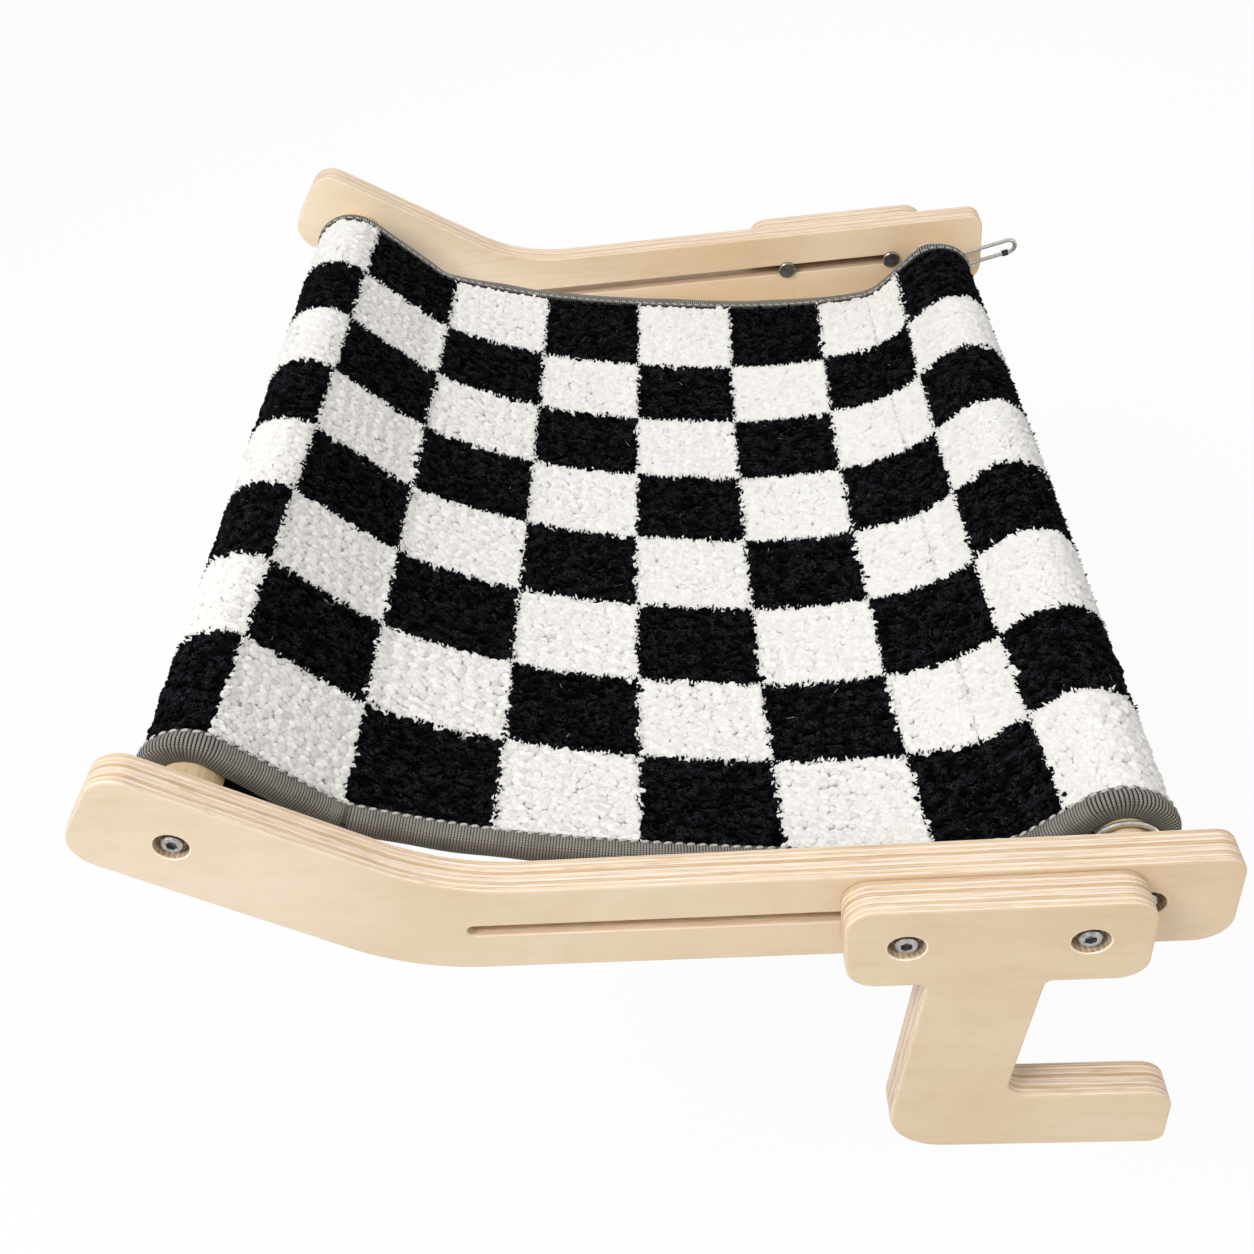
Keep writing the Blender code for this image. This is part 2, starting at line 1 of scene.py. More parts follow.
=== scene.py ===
# Looks of the cat hammock shelf: birch plywood, steel, checked fleece and grey webbing.
# X runs from the room to the window, Y along the window, Z up. Lengths are in metres.

import math

import bmesh
import bpy
import numpy as np
from mathutils import Matrix, Vector


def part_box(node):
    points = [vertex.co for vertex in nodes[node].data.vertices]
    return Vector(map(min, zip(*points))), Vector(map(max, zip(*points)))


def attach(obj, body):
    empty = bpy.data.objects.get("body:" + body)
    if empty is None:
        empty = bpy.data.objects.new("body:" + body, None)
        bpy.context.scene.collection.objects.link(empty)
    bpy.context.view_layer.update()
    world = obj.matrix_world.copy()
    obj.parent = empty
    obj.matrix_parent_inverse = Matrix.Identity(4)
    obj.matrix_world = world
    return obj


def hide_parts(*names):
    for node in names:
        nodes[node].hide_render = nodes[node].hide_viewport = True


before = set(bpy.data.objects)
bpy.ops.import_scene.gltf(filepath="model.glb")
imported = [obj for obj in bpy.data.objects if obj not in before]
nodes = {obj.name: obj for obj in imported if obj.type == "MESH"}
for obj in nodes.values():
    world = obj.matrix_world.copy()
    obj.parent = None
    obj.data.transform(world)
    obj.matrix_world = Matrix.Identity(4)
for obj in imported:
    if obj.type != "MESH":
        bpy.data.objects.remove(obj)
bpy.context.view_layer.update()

# Places read from the frame
near_side, far_side = -1, 1
SIDES = {"near": near_side, "far": far_side}


def middle_of(node):
    low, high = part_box(node)
    return (low + high) / 2


def width_of(node):
    low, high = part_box(node)
    return high.x - low.x


front_dowel = middle_of("front_dowel")
rear_dowel = middle_of("rear_dowel")
front_dowel_radius = width_of("front_dowel") / 2
rear_dowel_radius = width_of("rear_dowel") / 2
arm_inner_y, arm_outer_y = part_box("far_arm")[0].y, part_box("far_arm")[1].y
hook_inner_y, hook_outer_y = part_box("far_hook")[0].y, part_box("far_hook")[1].y
sheet_near_y, sheet_far_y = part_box("hammock_sheet")[0].y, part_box("hammock_sheet")[1].y
sheet_edges = {near_side: abs(sheet_near_y), far_side: abs(sheet_far_y)}

# Boards
seat_radius = 0.0086
slot_radius = 0.0038
slot_start_x, slot_end_x = -0.2632, 0.0222
hole_blur = 0.0002
# Painted highlight: a pale ring round the rim of each counterbore
rim_highlight_middle = 0.0003
rim_highlight_reach = (0.0001, 0.0007)
# Painted shade below the far arm's slot
slot_shade_reach = (0.003, 0.018)
# Painted shade: the veneer darkens towards the window, where less light falls
window_shade_reach = (-0.40, -0.12)
ply_wobble = 0.030
ply_blend_share = 0.12

# Sheet
touch_gap = 0.0003
sheet_thickness = 0.011
rear_pocket_slack = 0.0017
front_crease_run = 0.0624
front_crease_drop = 0.035
rear_crease_run = 0.0445
rear_crease_drop = 0.0158
crease_radius = 0.030
front_seam_setback = 0.006
rear_seam_setback = 0.004
sheet_sag = 0.016
sheet_sag_power = 2.6
sheet_middle_sag = 0.018
sheet_middle_power = 4
span_steps = 60
crease_steps = 8
pocket_step = math.radians(8)
seam_rounds = 6
top_facing = 0.05
shortest_step = 1e-5
backing_columns = 260
backing_rows = 121
weave_pitch = 0.0011

# Fleece pile
pile_depth = 0.0028
pile_tip = 0.0006
pile_root = 0.0005
pile_overhang = 0.001
pile_front_clear = 0.002
pile_rear_clear = 0.001
near_pile_inset = 0.0078
far_pile_inset = 0.0030
pile_inset_spread = 0.0016
lining_lift = 0.0006
girth_spread = 0.06
flat_shares = (0.75, 1.0)
white_calm = 0.48
white_plump = 0.30
lump_height = 0.00042
lump_shade = 0.90
lump_step = 0.0004
cloth_step = 0.0015
tuft_spacing = 0.0034
tuft_scatter_share = 0.24
tuft_clump_share = 0.13
tuft_height_share = 0.09
tuft_width = 0.0047
tuft_width_share = 0.12
tuft_lean = 0.50
tuft_wave_share = 0.5
tuft_lean_spread = 0.5
strand_spacing = 0.0012
strand_scatter = 0.0005
strand_width = 0.0018
strand_width_share = 0.2
strand_height = 0.0041
strand_height_share = 0.16
strand_reach = 0.0018
strand_lean = 0.36
strand_lean_share = 0.35
strand_lean_spread = 0.6
stray_fibres = 90
stray_width = 0.0004
stray_rise_shares = (1.05, 1.25)
stray_lean = 0.8
stray_whiteness = (0.2, 0.7)
tuft_bend_power = 1.5
cell_reach_share = 0.44
pile_seed = 7

# Random waves: how many, the shortest and the longest
clump_waves = (16, 0.008, 0.03)
lean_waves = (14, 0.010, 0.04)
lump_waves = (18, 0.0055, 0.0100)
wander_waves = (9, 0.03, 0.12)

# Checks. The stretched cloth's factors give millimetres, lowest power of the run first
check_length = 0.0682
check_start_x = -0.3648
row_edges = (-0.1960, -0.1345, -0.0700, -0.0055, 0.0605, 0.1260, 0.1905)
stretch_middle = 0.366
stretch_half_run = 0.273
stretch_half_width = 0.267
millimetres_per_metre = 1000
row_stretch = (0.6, -2.6)
row_stretch_end = 0.8
column_bow = (1.7, 4.1, -8.6, -2.5)
column_slant = (1.5, -5.7)
column_bend = (3.6, 6.6)
column_stretch_end = 0.7
rear_overrun = 6.0
rear_overrun_start = 0.82
rear_overrun_share = 0.10

# Webbing
tape_thickness = 0.0007
rib_pitch = 0.0016
rib_height = 0.00036
steps_per_rib = 5
bead_pitch = 0.0010
webbing_lips = {near_side: 0.0085, far_side: 0.0062}
webbing_bulge = 0.0014
webbing_wander = 0.0004
bend_reach = 0.0022
bend_steps = 12
bend_squareness = 3.2
lip_sink = 0.0012
lip_crown_share = 0.55
lip_crown = 0.0004
under_lip_share = 0.6
under_lip_lift = 0.0002
fold_x = -0.3255
fold_width = 0.0028
fold_depth = 0.0020
fold_sink_share = 0.8
scallop = 0.0007
scallop_share = 0.2
lip_shadow = (0.0008, 0.0018)
under_shadow = (0.0085, 0.0170)
stitch_length = 0.0040
stitch_pitch = 0.0056
stitch_radii = {near_side: 0.00085, far_side: 0.00050}
stitch_inset = 0.0014
stitch_slant = 0.0004
stitch_lift = 0.0010
order_way = Vector((1.0, 0.61, 0.37))
webbing_seed = 11

# Camera, from a fit to both arms' outlines. The photograph's sizes are in its own pixels
camera_place = (-0.1312, -0.7176, 0.5928)
camera_right = (0.98767, 0.05705, -0.14581)
camera_up = (0.07708, 0.63341, 0.76997)
photo_size = 1254
photo_focal_length = 1439
photo_axis_x, photo_axis_y = 520, 540
sensor_width = 36

# Name, place, width and watts of each lamp, and the light of the room
LAMPS = (
    ("key", (-1.3, -1.1, 1.7), 1.2, 37),
    ("fill", (1.4, -1.4, 1.2), 1.6, 8.5),
    ("back", (0.0, 1.8, 1.6), 1.6, 14),
)
lamp_target = (-0.17, 0.0, 0.03)
room_light = 0.55
room_tint = (1.0, 0.99, 0.97)
floor_reach = 12.0
floor_level = -0.42
floor_tint = (0.82, 0.82, 0.82)
floor_glow = 0.92
plain_white = (1.0, 1.0, 1.0)


def shade(code):
    """Linear colour of a web colour code."""
    parts = [int(code[i:i + 2], 16) / 255 for i in (1, 3, 5)]
    return tuple(p / 12.92 if p <= 0.04045 else ((p + 0.055) / 1.055) ** 2.4 for p in parts)


def maths(operation, swapped=False):
    """A method of a flow that adds one Math node."""

    def method(flow, other=None):
        first, second = (other, flow) if swapped else (flow, other)
        values = {0: first} if second is None else {0: first, 1: second}
        return flow.recipe.node("ShaderNodeMath", {"operation": operation}, values)

    return method


class Flow:
    """One value in a material's node tree. Sums on flows add their Math nodes."""

    __add__ = maths("ADD")
    __radd__ = maths("ADD", swapped=True)
    __sub__ = maths("SUBTRACT")
    __rsub__ = maths("SUBTRACT", swapped=True)
    __mul__ = maths("MULTIPLY")
    __truediv__ = maths("DIVIDE")
    __pow__ = maths("POWER")
    __abs__ = maths("ABSOLUTE")
    sine = maths("SINE")
    cosine = maths("COSINE")
    root = maths("SQRT")
    least = maths("MINIMUM")
    most = maths("MAXIMUM")

    def __init__(self, recipe, socket):
        self.recipe = recipe
        self.socket = socket

    def smooth(self, low, high):
        """0 below low, 1 above high, and a smooth step between."""
        limits = {"Value": self, "From Min": low, "From Max": high}
        return self.recipe.node("ShaderNodeMapRange", {"interpolation_type": "SMOOTHSTEP"}, limits)


class Recipe:
    """A material being made, with its Principled shader."""

    def __init__(self, name):
        self.material = bpy.data.materials.new(name)
        self.material.use_nodes = True
        self.tree = self.material.node_tree
        self.shader = self.tree.nodes["Principled BSDF"]

    def feed(self, socket, value):
        """Gives a socket a flow, a value, or a colour as its linear parts or its web code."""
        if isinstance(value, str):
            value = shade(value)
        if isinstance(value, Flow):
            self.tree.links.new(value.socket, socket)
        elif isinstance(value, tuple) and len(value) == 3 and socket.type == "RGBA":
            socket.default_value = (*value, 1)
        else:
            socket.default_value = value

    def node(self, kind, settings=None, values=None, output=0):
        """Adds a node: its settings first, then the values or flows of its sockets."""
        made = self.tree.nodes.new(kind)
        for name, value in (settings or {}).items():
            setattr(made, name, value)
        for name, value in (values or {}).items():
            self.feed(made.inputs[name], value)
        return Flow(self, made.outputs[output])

    def where(self, space="Object"):
        return self.node("ShaderNodeTexCoord", output=space)

    def parts(self, vector):
        split = self.node("ShaderNodeSeparateXYZ", values={0: vector}).socket.node
        return [Flow(self, out) for out in split.outputs]

    def noise(self, vector, scale=1.0, detail=3.0, roughness=0.5, distortion=0.0):
        values = {"Vector": vector, "Scale": scale, "Detail": detail}
        values.update({"Roughness": roughness, "Distortion": distortion})
        return self.node("ShaderNodeTexNoise", values=values)

    def grain(self, place, factors, **settings):
        """Noise drawn out along the axes that have low factors."""
        scaled = self.node("ShaderNodeVectorMath", {"operation": "MULTIPLY"}, {0: place, 1: factors})
        return self.noise(scaled, **settings)

    def mix(self, first, second, factor, way="MIX"):
        """Blend of two colours."""
        settings = {"data_type": "RGBA", "blend_type": way}
        return self.node("ShaderNodeMix", settings, {6: first, 7: second, 0: factor}, 2)

    def ramp(self, factor, stops):
        """Colour ramp through stops, each a place and a colour."""
        made = self.node("ShaderNodeValToRGB", values={0: factor})
        elements = made.socket.node.color_ramp.elements
        elements.remove(elements[-1])
        for i, (place, colour) in enumerate(stops):
            element = elements[0] if i == 0 else elements.new(place)
            element.position = place
            element.color = (*colour, 1)
        return made

    def attribute(self, name, output="Fac"):
        return self.node("ShaderNodeAttribute", {"attribute_name": name}, output=output)

    def bump(self, height, distance, strength=0.5):
        values = {"Height": height, "Distance": distance, "Strength": strength}
        return self.node("ShaderNodeBump", values=values)

    def finish(self, **sockets):
        """Sets the Principled shader's sockets, written with underscores for spaces."""
        for name, value in sockets.items():
            self.feed(self.shader.inputs[name.replace("_", " ")], value)
        return self.material


# Share of the board's thickness and tone of each ply, from the outer face inwards
PLIES = (
    (0.045, "#F6EAD3"), (0.115, "#EAD3B0"), (0.035, "#F8EFDC"), (0.125, "#DFC49C"),
    (0.040, "#F6EAD4"), (0.120, "#ECD7B7"), (0.035, "#F5E9D2"), (0.125, "#D6B88D"),
    (0.035, "#F6EBD5"), (0.120, "#E8D0AB"), (0.035, "#F7EDD9"), (0.125, "#E0C59D"),
    (0.045, "#F4E7CE"),
)


def round_hole(place, hole):
    """Distance from the wall of a hole or slot, given as its first x, last x, z and radius."""
    start, end, level, radius = hole
    x, _, z = place
    along = x - x.most(start).least(end)
    return (along * along + (z - level) * (z - level)).root() - radius


def nearest(flows):
    best = flows[0]
    for flow in flows[1:]:
        best = best.least(flow)
    return best


def plywood(name, outer_y, inner_y, seats, slots, tone, tan, low=plain_white):
    """Birch plywood: a pale veneer on the faces, plies on the edges, brown walls in the holes.
    Tan is painted shade on the veneer towards the window, and low is painted shade below the slot;
    the counterbores' rims get a painted highlight, and the slot's walls painted shade and light."""
    r = Recipe(name)
    place = r.where()
    x, y, z = spot = r.parts(place)
    _, facing, _ = r.parts(r.where("Normal"))
    depth = (outer_y - abs(y)) / (outer_y - inner_y)

    swirl = r.grain(place, (3.0, 9.0, 11.0), detail=2.0, distortion=0.6)
    rings = r.grain(place, (7.0, 30.0, 62.0), detail=4.0, roughness=0.55, distortion=1.1)
    figure = ((rings * 9.0 + swirl * 5.0) * math.pi).sine() * 0.5 + 0.5
    pores = r.grain(place, (190.0, 900.0, 1500.0), detail=2.0, roughness=0.6)
    flecks = pores.smooth(0.60, 0.76)
    mottle = r.grain(place, (45.0, 60.0, 75.0), detail=4.0, roughness=0.62)
    cloud = r.noise(place, 9.0)
    pale, warm, dark = tone
    veneer = r.mix(pale, warm, cloud.smooth(0.32, 0.72) * 0.75)
    veneer = r.mix(veneer, dark, figure ** 2.5 * 0.17 * swirl.smooth(0.3, 0.7))
    veneer = r.mix(veneer, dark, mottle.smooth(0.46, 0.80) * 0.22)
    veneer = r.mix(veneer, dark, flecks * 0.14)
    # Painted shade: the tan tint darkens the veneer towards the window
    veneer = r.mix(veneer, tan, x.smooth(*window_shade_reach), "MULTIPLY")
    if slots:
        # Painted shade: the low tint darkens the veneer below the slot
        veneer = r.mix(veneer, low, (slots[0][2] - z).smooth(*slot_shade_reach), "MULTIPLY")

    wobble = r.grain(place, (30.0, 8.0, 30.0))
    level = depth + (wobble - 0.5) * ply_wobble
    stops, reached = [], 0.0
    for share, code in PLIES:
        blend = share * ply_blend_share
        stops.append((reached + blend, shade(code)))
        stops.append((min(reached + share - blend, 1.0), shade(code)))
        reached += share
    plies = r.ramp(level, stops)
    fibre = r.grain(place, (22.0, 2400.0, 55.0), detail=4.0, roughness=0.7)
    blotch = r.grain(place, (60.0, 600.0, 60.0), roughness=0.65)
    thin = r.grain(place, (34.0, 5200.0, 80.0), roughness=0.6)
    plies = r.mix(plies, "#A8845A", fibre.smooth(0.52, 0.66) * 0.50)
    plies = r.mix(plies, "#FFF8EC", (1 - fibre).smooth(0.52, 0.66) * 0.42)
    plies = r.mix(plies, "#B98F60", blotch.smooth(0.52, 0.72) * 0.35)
    plies = r.mix(plies, "#86603A", thin.smooth(0.55, 0.66) * 0.60)
    plies = r.mix(plies, (0.93, 0.90, 0.95), 1.0, "MULTIPLY")

    wall = 1 - abs(facing).smooth(0.45, 0.85)
    wood = r.mix(veneer, plies, wall)
    burr = r.noise(place, 700.0)
    streak = r.grain(place, (120.0, 1400.0, 120.0))
    seat = nearest([round_hole(spot, hole) for hole in seats])
    # Painted highlight: a pale cream ring just outside each counterbore's wall
    rim_highlight = (1 - abs(seat - rim_highlight_middle).smooth(*rim_highlight_reach)) * burr.smooth(0.30, 0.55)
    wood = r.mix(wood, "#FBF1DE", rim_highlight * 0.8)
    bored = r.mix("#6E4C2D", "#C9A67A", streak.smooth(0.35, 0.65))
    wood = r.mix(wood, bored, (1 - seat.smooth(-hole_blur, hole_blur / 2)) * (wall * 0.9 + 0.1))
    if slots:
        slot = nearest([round_hole(spot, hole) for hole in slots])
        slot_wall_and_shade = r.mix("#5E3D20", "#B98E5C", streak.smooth(0.35, 0.65))
        # Painted shade deep in the slot, and painted light on its walls near both faces
        slot_wall_and_shade = r.mix(slot_wall_and_shade, "#E9D0A8", abs(depth * 2 - 1).smooth(0.30, 0.95) * 0.75)
        wood = r.mix(wood, slot_wall_and_shade, (1 - slot.smooth(-hole_blur, hole_blur)) * (wall * 0.9 + 0.1))

    relief = fibre * wall * 0.6 + pores * 0.2 + mottle * 0.3
    normal = r.bump(relief, 0.00030)
    shine = 0.46 + wall * 0.14 + flecks * 0.08 + (cloud - 0.5) * 0.12
    return r.finish(
        Base_Color=wood, Roughness=shine, Normal=normal,
        Coat_Weight=0.10, Coat_Roughness=0.40,
    )


def turned_wood(name):
    """Pale turned dowel with its grain along Y."""
    r = Recipe(name)
    place = r.where()
    grain = r.grain(place, (260.0, 9.0, 260.0), detail=4.0, roughness=0.6, distortion=0.5)
    bands = r.grain(place, (70.0, 3.0, 70.0), detail=2.0, distortion=1.0)
    wood = r.mix("#EED8B2", "#E2C596", grain.smooth(0.35, 0.7))
    wood = r.mix(wood, "#CFA873", bands.smooth(0.55, 0.75) * 0.35)
    normal = r.bump(grain, 0.0002)
    return r.finish(Base_Color=wood, Roughness=0.45 + grain * 0.2, Normal=normal)


def steel(name, light, dark, roughness, scratch, recess=0.0, below=None):
    """Plated steel with fine turning marks and small stains. The recess is the share of a head's
    width that its socket takes, darkened there as painted shade. Below is a painted shade and
    reflection: the tint of the downward faces."""
    r = Recipe(name)
    place = r.where()
    marks = r.grain(place, (500.0, 4000.0, 500.0), detail=2.0)
    stains = r.noise(place, 420.0, detail=4.0, roughness=0.6)
    tint = r.mix(light, dark, stains.smooth(0.40, 0.75))
    if below:
        # Painted shade and reflection: the metal is darker on its downward faces and lighter on its
        # top
        _, _, upward = r.parts(r.where("Normal"))
        tint = r.mix(below, tint, upward.smooth(-0.10, 0.50))
    if recess:
        x, _, z = r.parts(r.where("Generated"))
        out = ((x - 0.5) * (x - 0.5) + (z - 0.5) * (z - 0.5)).root() + (marks - 0.5) * 0.06
        # Painted shade: the socket of the head is darkened
        tint = r.mix("#33302C", tint, out.smooth(recess * 0.46, recess * 0.54))
    rough = roughness + (marks - 0.5) * scratch + stains * 0.08
    normal = r.bump(marks + stains * 0.5, 0.00006)
    return r.finish(Base_Color=tint, Metallic=1.0, Roughness=rough, Normal=normal)


def brass_metal(name):
    r = Recipe(name)
    stains = r.noise(r.where(), 500.0)
    tint = r.mix("#D8B56A", "#A9853F", stains.smooth(0.4, 0.7))
    return r.finish(Base_Color=tint, Metallic=1.0, Roughness=0.3 + stains * 0.15)


def soft_rubber(name):
    r = Recipe(name)
    place = r.where()
    grain = r.noise(place, 1500.0)
    tint = r.mix("#161616", "#2A2A29", grain.smooth(0.3, 0.7))
    return r.finish(Base_Color=tint, Roughness=0.62 + grain * 0.2, Normal=r.bump(grain, 0.0001))


def fleece_pile(name):
    """Curly pile. Each tuft carries its own whiteness, tone and height up the tuft. The height sets
    painted shade at the roots of the white tufts and painted highlights near the tips of the black
    ones.
    """
    r = Recipe(name)
    place = r.where()
    white = r.attribute("whiteness")
    tone = r.attribute("tone")
    rise = r.attribute("rise")
    curl = r.noise(place, 520.0, detail=2.0, roughness=0.55, distortion=1.6)
    fibre = 1 - abs(curl - 0.5).smooth(0.0, 0.045)
    patch = r.noise(place, 160.0, detail=2.0)
    strands = r.noise(place, 1500.0, detail=2.0, roughness=0.6, distortion=0.8)

    # Painted shade: the white tufts darken towards their roots, between the tufts
    pale = r.mix("#E6E3DF", "#EEECE8", rise.smooth(0.1, 0.8))
    pale = r.mix(pale, "#E7E3DF", tone.smooth(0.5, 1.0) * 0.5)
    # Painted shade: darker curly crease lines on the white tufts
    pale = r.mix(pale, "#DAD6D2", fibre * patch.smooth(0.42, 0.65) * 0.30)
    # Painted highlight: the black tufts lighten towards their tips
    ink = r.mix("#000000", "#0A0B0D", rise.smooth(0.35, 1.0) * (0.35 + tone * 0.65))
    # Painted highlights: pale curly fibre lines and strands on the black tufts, up the tufts
    ink = r.mix(ink, "#44474D", fibre * patch.smooth(0.40, 0.62) * rise.smooth(0.30, 0.8) * 0.8)
    ink = r.mix(ink, "#24262A", strands.smooth(0.54, 0.72) * tone * rise.smooth(0.4, 0.9) * 0.7)
    colour = r.mix(ink, pale, white)
    relief = (fibre * 0.5 + strands) * (1 - white * 0.65)
    normal = r.bump(relief, 0.0006, strength=0.6)
    return r.finish(
        Base_Color=colour, Roughness=0.95, Normal=normal, Specular_IOR_Level=0.02,
        Subsurface_Weight=0.2, Subsurface_Radius=(1.0, 0.97, 0.94), Subsurface_Scale=0.002,
    )


def fleece_backing(name):
    """The cloth under the pile, and the dark lining on the underside."""
    r = Recipe(name)
    white = r.attribute("whiteness")
    lining = r.attribute("lining")
    along, across, _ = r.parts(r.attribute("cloth_place", "Vector"))
    warp = (along * (2 * math.pi / weave_pitch)).sine()
    weft = (across * (2 * math.pi / weave_pitch)).sine()
    weave = warp * weft
    speck = r.noise(r.where(), 800.0)
    ground = r.mix("#040405", "#EFECE8", white)
    cloth = r.mix("#1B1917", "#332F2B", (weave * 0.5 + 0.5) * 0.7 + speck * 0.3)
    colour = r.mix(ground, cloth, lining)
    normal = r.bump(weave * lining + speck * 0.8, 0.0004, strength=0.6)
    return r.finish(Base_Color=colour, Roughness=0.9, Normal=normal)


def ribbed_webbing(name):
    """Grey tape, ribbed across its width. Painted shade darkens its grooves, along with the tape's
    own gaps, its sewn lip, its fold and its lower side; its beads get painted highlights.
    """
    r = Recipe(name)
    along, across, fold = r.parts(r.attribute("tape_place", "Vector"))
    rib = 0.5 - (along * (2 * math.pi / rib_pitch)).cosine() * 0.5
    bead = (across * (2 * math.pi / bead_pitch)).sine() * 0.5 + 0.5
    fuzz = r.noise(r.where(), 1300.0, roughness=0.6)
    worn = r.noise(r.where(), 90.0, detail=2.0)
    # Dark grooves between the ribs: partly the tape's own gaps, partly painted shade
    grey = r.mix("#050504", "#78746E", rib.smooth(0.38, 0.82))
    # Painted highlights on the beads along the rib tops
    grey = r.mix(grey, "#BDB9B2", bead.smooth(0.35, 0.9) * rib.smooth(0.60, 0.95) * 0.5)
    grey = r.mix(grey, "#3F3C39", fuzz.smooth(0.5, 0.75) * 0.35)
    grey = r.mix(grey, "#3A3734", worn.smooth(0.45, 0.75) * 0.30)
    # Painted shade along the sewn lip, where the tape meets the pile
    grey = r.mix(grey, "#12110F", (1 - across.smooth(*lip_shadow)) * 0.85)
    # Painted shade in the fold
    grey = r.mix(grey, "#2A2826", fold.smooth(0.40, 0.98) * 0.5)
    grey = r.mix(grey, "#2B2926", across.smooth(*under_shadow) * 0.50)
    normal = r.bump(bead * 0.5 + rib * 0.8 + fuzz * 0.4, 0.0003, strength=0.6)
    return r.finish(
        Base_Color=grey, Roughness=0.85, Normal=normal, Specular_IOR_Level=0.25, Sheen_Weight=0.1,
    )


def sewing_thread(name):
    r = Recipe(name)
    twist = r.noise(r.where(), 2500.0, detail=2.0)
    tint = r.mix("#8A8781", "#C9C6BF", twist.smooth(0.35, 0.60))
    return r.finish(Base_Color=tint, Roughness=0.7, Normal=r.bump(twist, 0.0002))


class Line:
    """A line of the sheet's section as seen along Y: its points by their run along it."""

    def __init__(self, points, normals, drops):
        self.points = np.array(points)
        self.normals = np.array(normals)
        self.drops = np.array(drops)
        steps = np.linalg.norm(np.diff(self.points, axis=0), axis=1)
        self.run = np.concatenate([[0.0], np.cumsum(steps)])
        self.length = self.run[-1]

    def at(self, run):
        """Point, normal and drop at each run."""
        point = np.stack([np.interp(run, self.run, self.points[:, i]) for i in (0, 1)], axis=-1)
        normal = np.stack([np.interp(run, self.run, self.normals[:, i]) for i in (0, 1)], axis=-1)
        normal /= np.linalg.norm(normal, axis=-1, keepdims=True)
        return point, normal, np.interp(run, self.run, self.drops)

    def run_at(self, x):
        """The run at which the line's top passes this x."""
        top = np.where(self.normals[:, 1] > top_facing)[0]
        return float(np.interp(x, self.points[top, 0], self.run[top]))


def arc(centre, radius, start, end):
    steps = max(3, round(abs(end - start) / pocket_step))
    turns = [start + (end - start) * i / steps for i in range(steps + 1)]
    return [centre + Vector((math.cos(a), math.sin(a))) * radius for a in turns]


def pocket(centre, radius, crease, seam_setback, flip):
    """Middle line of a dowel pocket, from the crease round the dowel to the seam's end."""
    to_crease = Vector(((crease.x - centre.x) * flip, crease.y - centre.y))
    upper_way = math.atan2(to_crease.y, to_crease.x) - math.asin(radius / to_crease.length)
    start = upper_way + math.pi / 2
    along = Vector((math.cos(upper_way), math.sin(upper_way)))
    down = Vector((along.y, -along.x))
    half = sheet_thickness / 2
    lower_way = upper_way
    for _ in range(seam_rounds):
        below = half + touch_gap + half * math.cos(lower_way - upper_way)
        seam_end = to_crease - along * seam_setback + down * below
        lower_way = math.atan2(seam_end.y, seam_end.x) + math.asin(radius / seam_end.length)
    end = lower_way - math.pi / 2 + 2 * math.pi
    line = arc(Vector((0, 0)), radius, start, end) + [seam_end]
    return [Vector((centre.x + p.x * flip, centre.y + p.y)) for p in line]


def sheet_middle():
    """Middle line of the sheet from the front seam to the rear seam, with its share of sag."""
    half = sheet_thickness / 2
    front = Vector((front_dowel.x, front_dowel.z))
    rear = Vector((rear_dowel.x, rear_dowel.z))
    front_crease = front + Vector((front_crease_run, -front_crease_drop))
    rear_crease = rear + Vector((-rear_crease_run, -rear_crease_drop))
    front_radius = front_dowel_radius + touch_gap + half
    rear_radius = rear_dowel_radius + touch_gap + rear_pocket_slack + half
    slack = Vector((0, rear_pocket_slack))
    first = pocket(front, front_radius, front_crease, front_seam_setback, 1)
    last = pocket(rear - slack, rear_radius, rear_crease, rear_seam_setback, -1)
    line = [(p, 0.0) for p in reversed(first)]
    creases = (len(line), len(line) + span_steps)
    for i in range(span_steps + 1):
        share = i / span_steps
        drop = 1 - abs(2 * share - 1) ** sheet_sag_power
        line.append((front_crease.lerp(rear_crease, share) - Vector((0, sheet_sag * drop)), drop))
    line += [(p, 0.0) for p in last]
    return eased(line, creases)


def eased(line, creases):
    """Rounds the line at its two creases."""
    result = []
    for i, (point, drop) in enumerate(line):
        if i not in creases:
            result.append((point, drop))
            continue
        before, after = point - line[i - 1][0], line[i + 1][0] - point
        bend = before.angle(after)
        reach = crease_radius * math.tan(bend / 2)
        start = point - before.normalized() * reach
        end = point + after.normalized() * reach
        for step in range(crease_steps + 1):
            t = step / crease_steps
            result.append((start.lerp(point, t).lerp(point.lerp(end, t), t), drop))
    return ordered(result)


def ordered(line):
    """Leaves out points that the rounding of a crease has passed."""
    kept = [line[0]]
    for point, drop in line[1:]:
        step = point - kept[-1][0]
        if len(kept) > 1 and step.dot(kept[-1][0] - kept[-2][0]) <= 0:
            continue
        if step.length > shortest_step:
            kept.append((point, drop))
    return kept


def lifted(line, lift):
    """The line moved this far towards the outer, upper side."""
    points, normals, drops = [], [], []
    for i, (here, drop) in enumerate(line):
        before = line[max(i - 1, 0)][0]
        after = line[min(i + 1, len(line) - 1)][0]
        along = (after - before).normalized()
        normal = Vector((-along.y, along.x))
        points.append(tuple(here + normal * lift))
        normals.append(tuple(normal))
        drops.append(drop)
    return Line(points, normals, drops)


middle_points = sheet_middle()
centre_line = lifted(middle_points, 0)
top_line = lifted(middle_points, sheet_thickness / 2)
under_line = lifted(middle_points, -sheet_thickness / 2)
check_start = top_line.run_at(check_start_x)


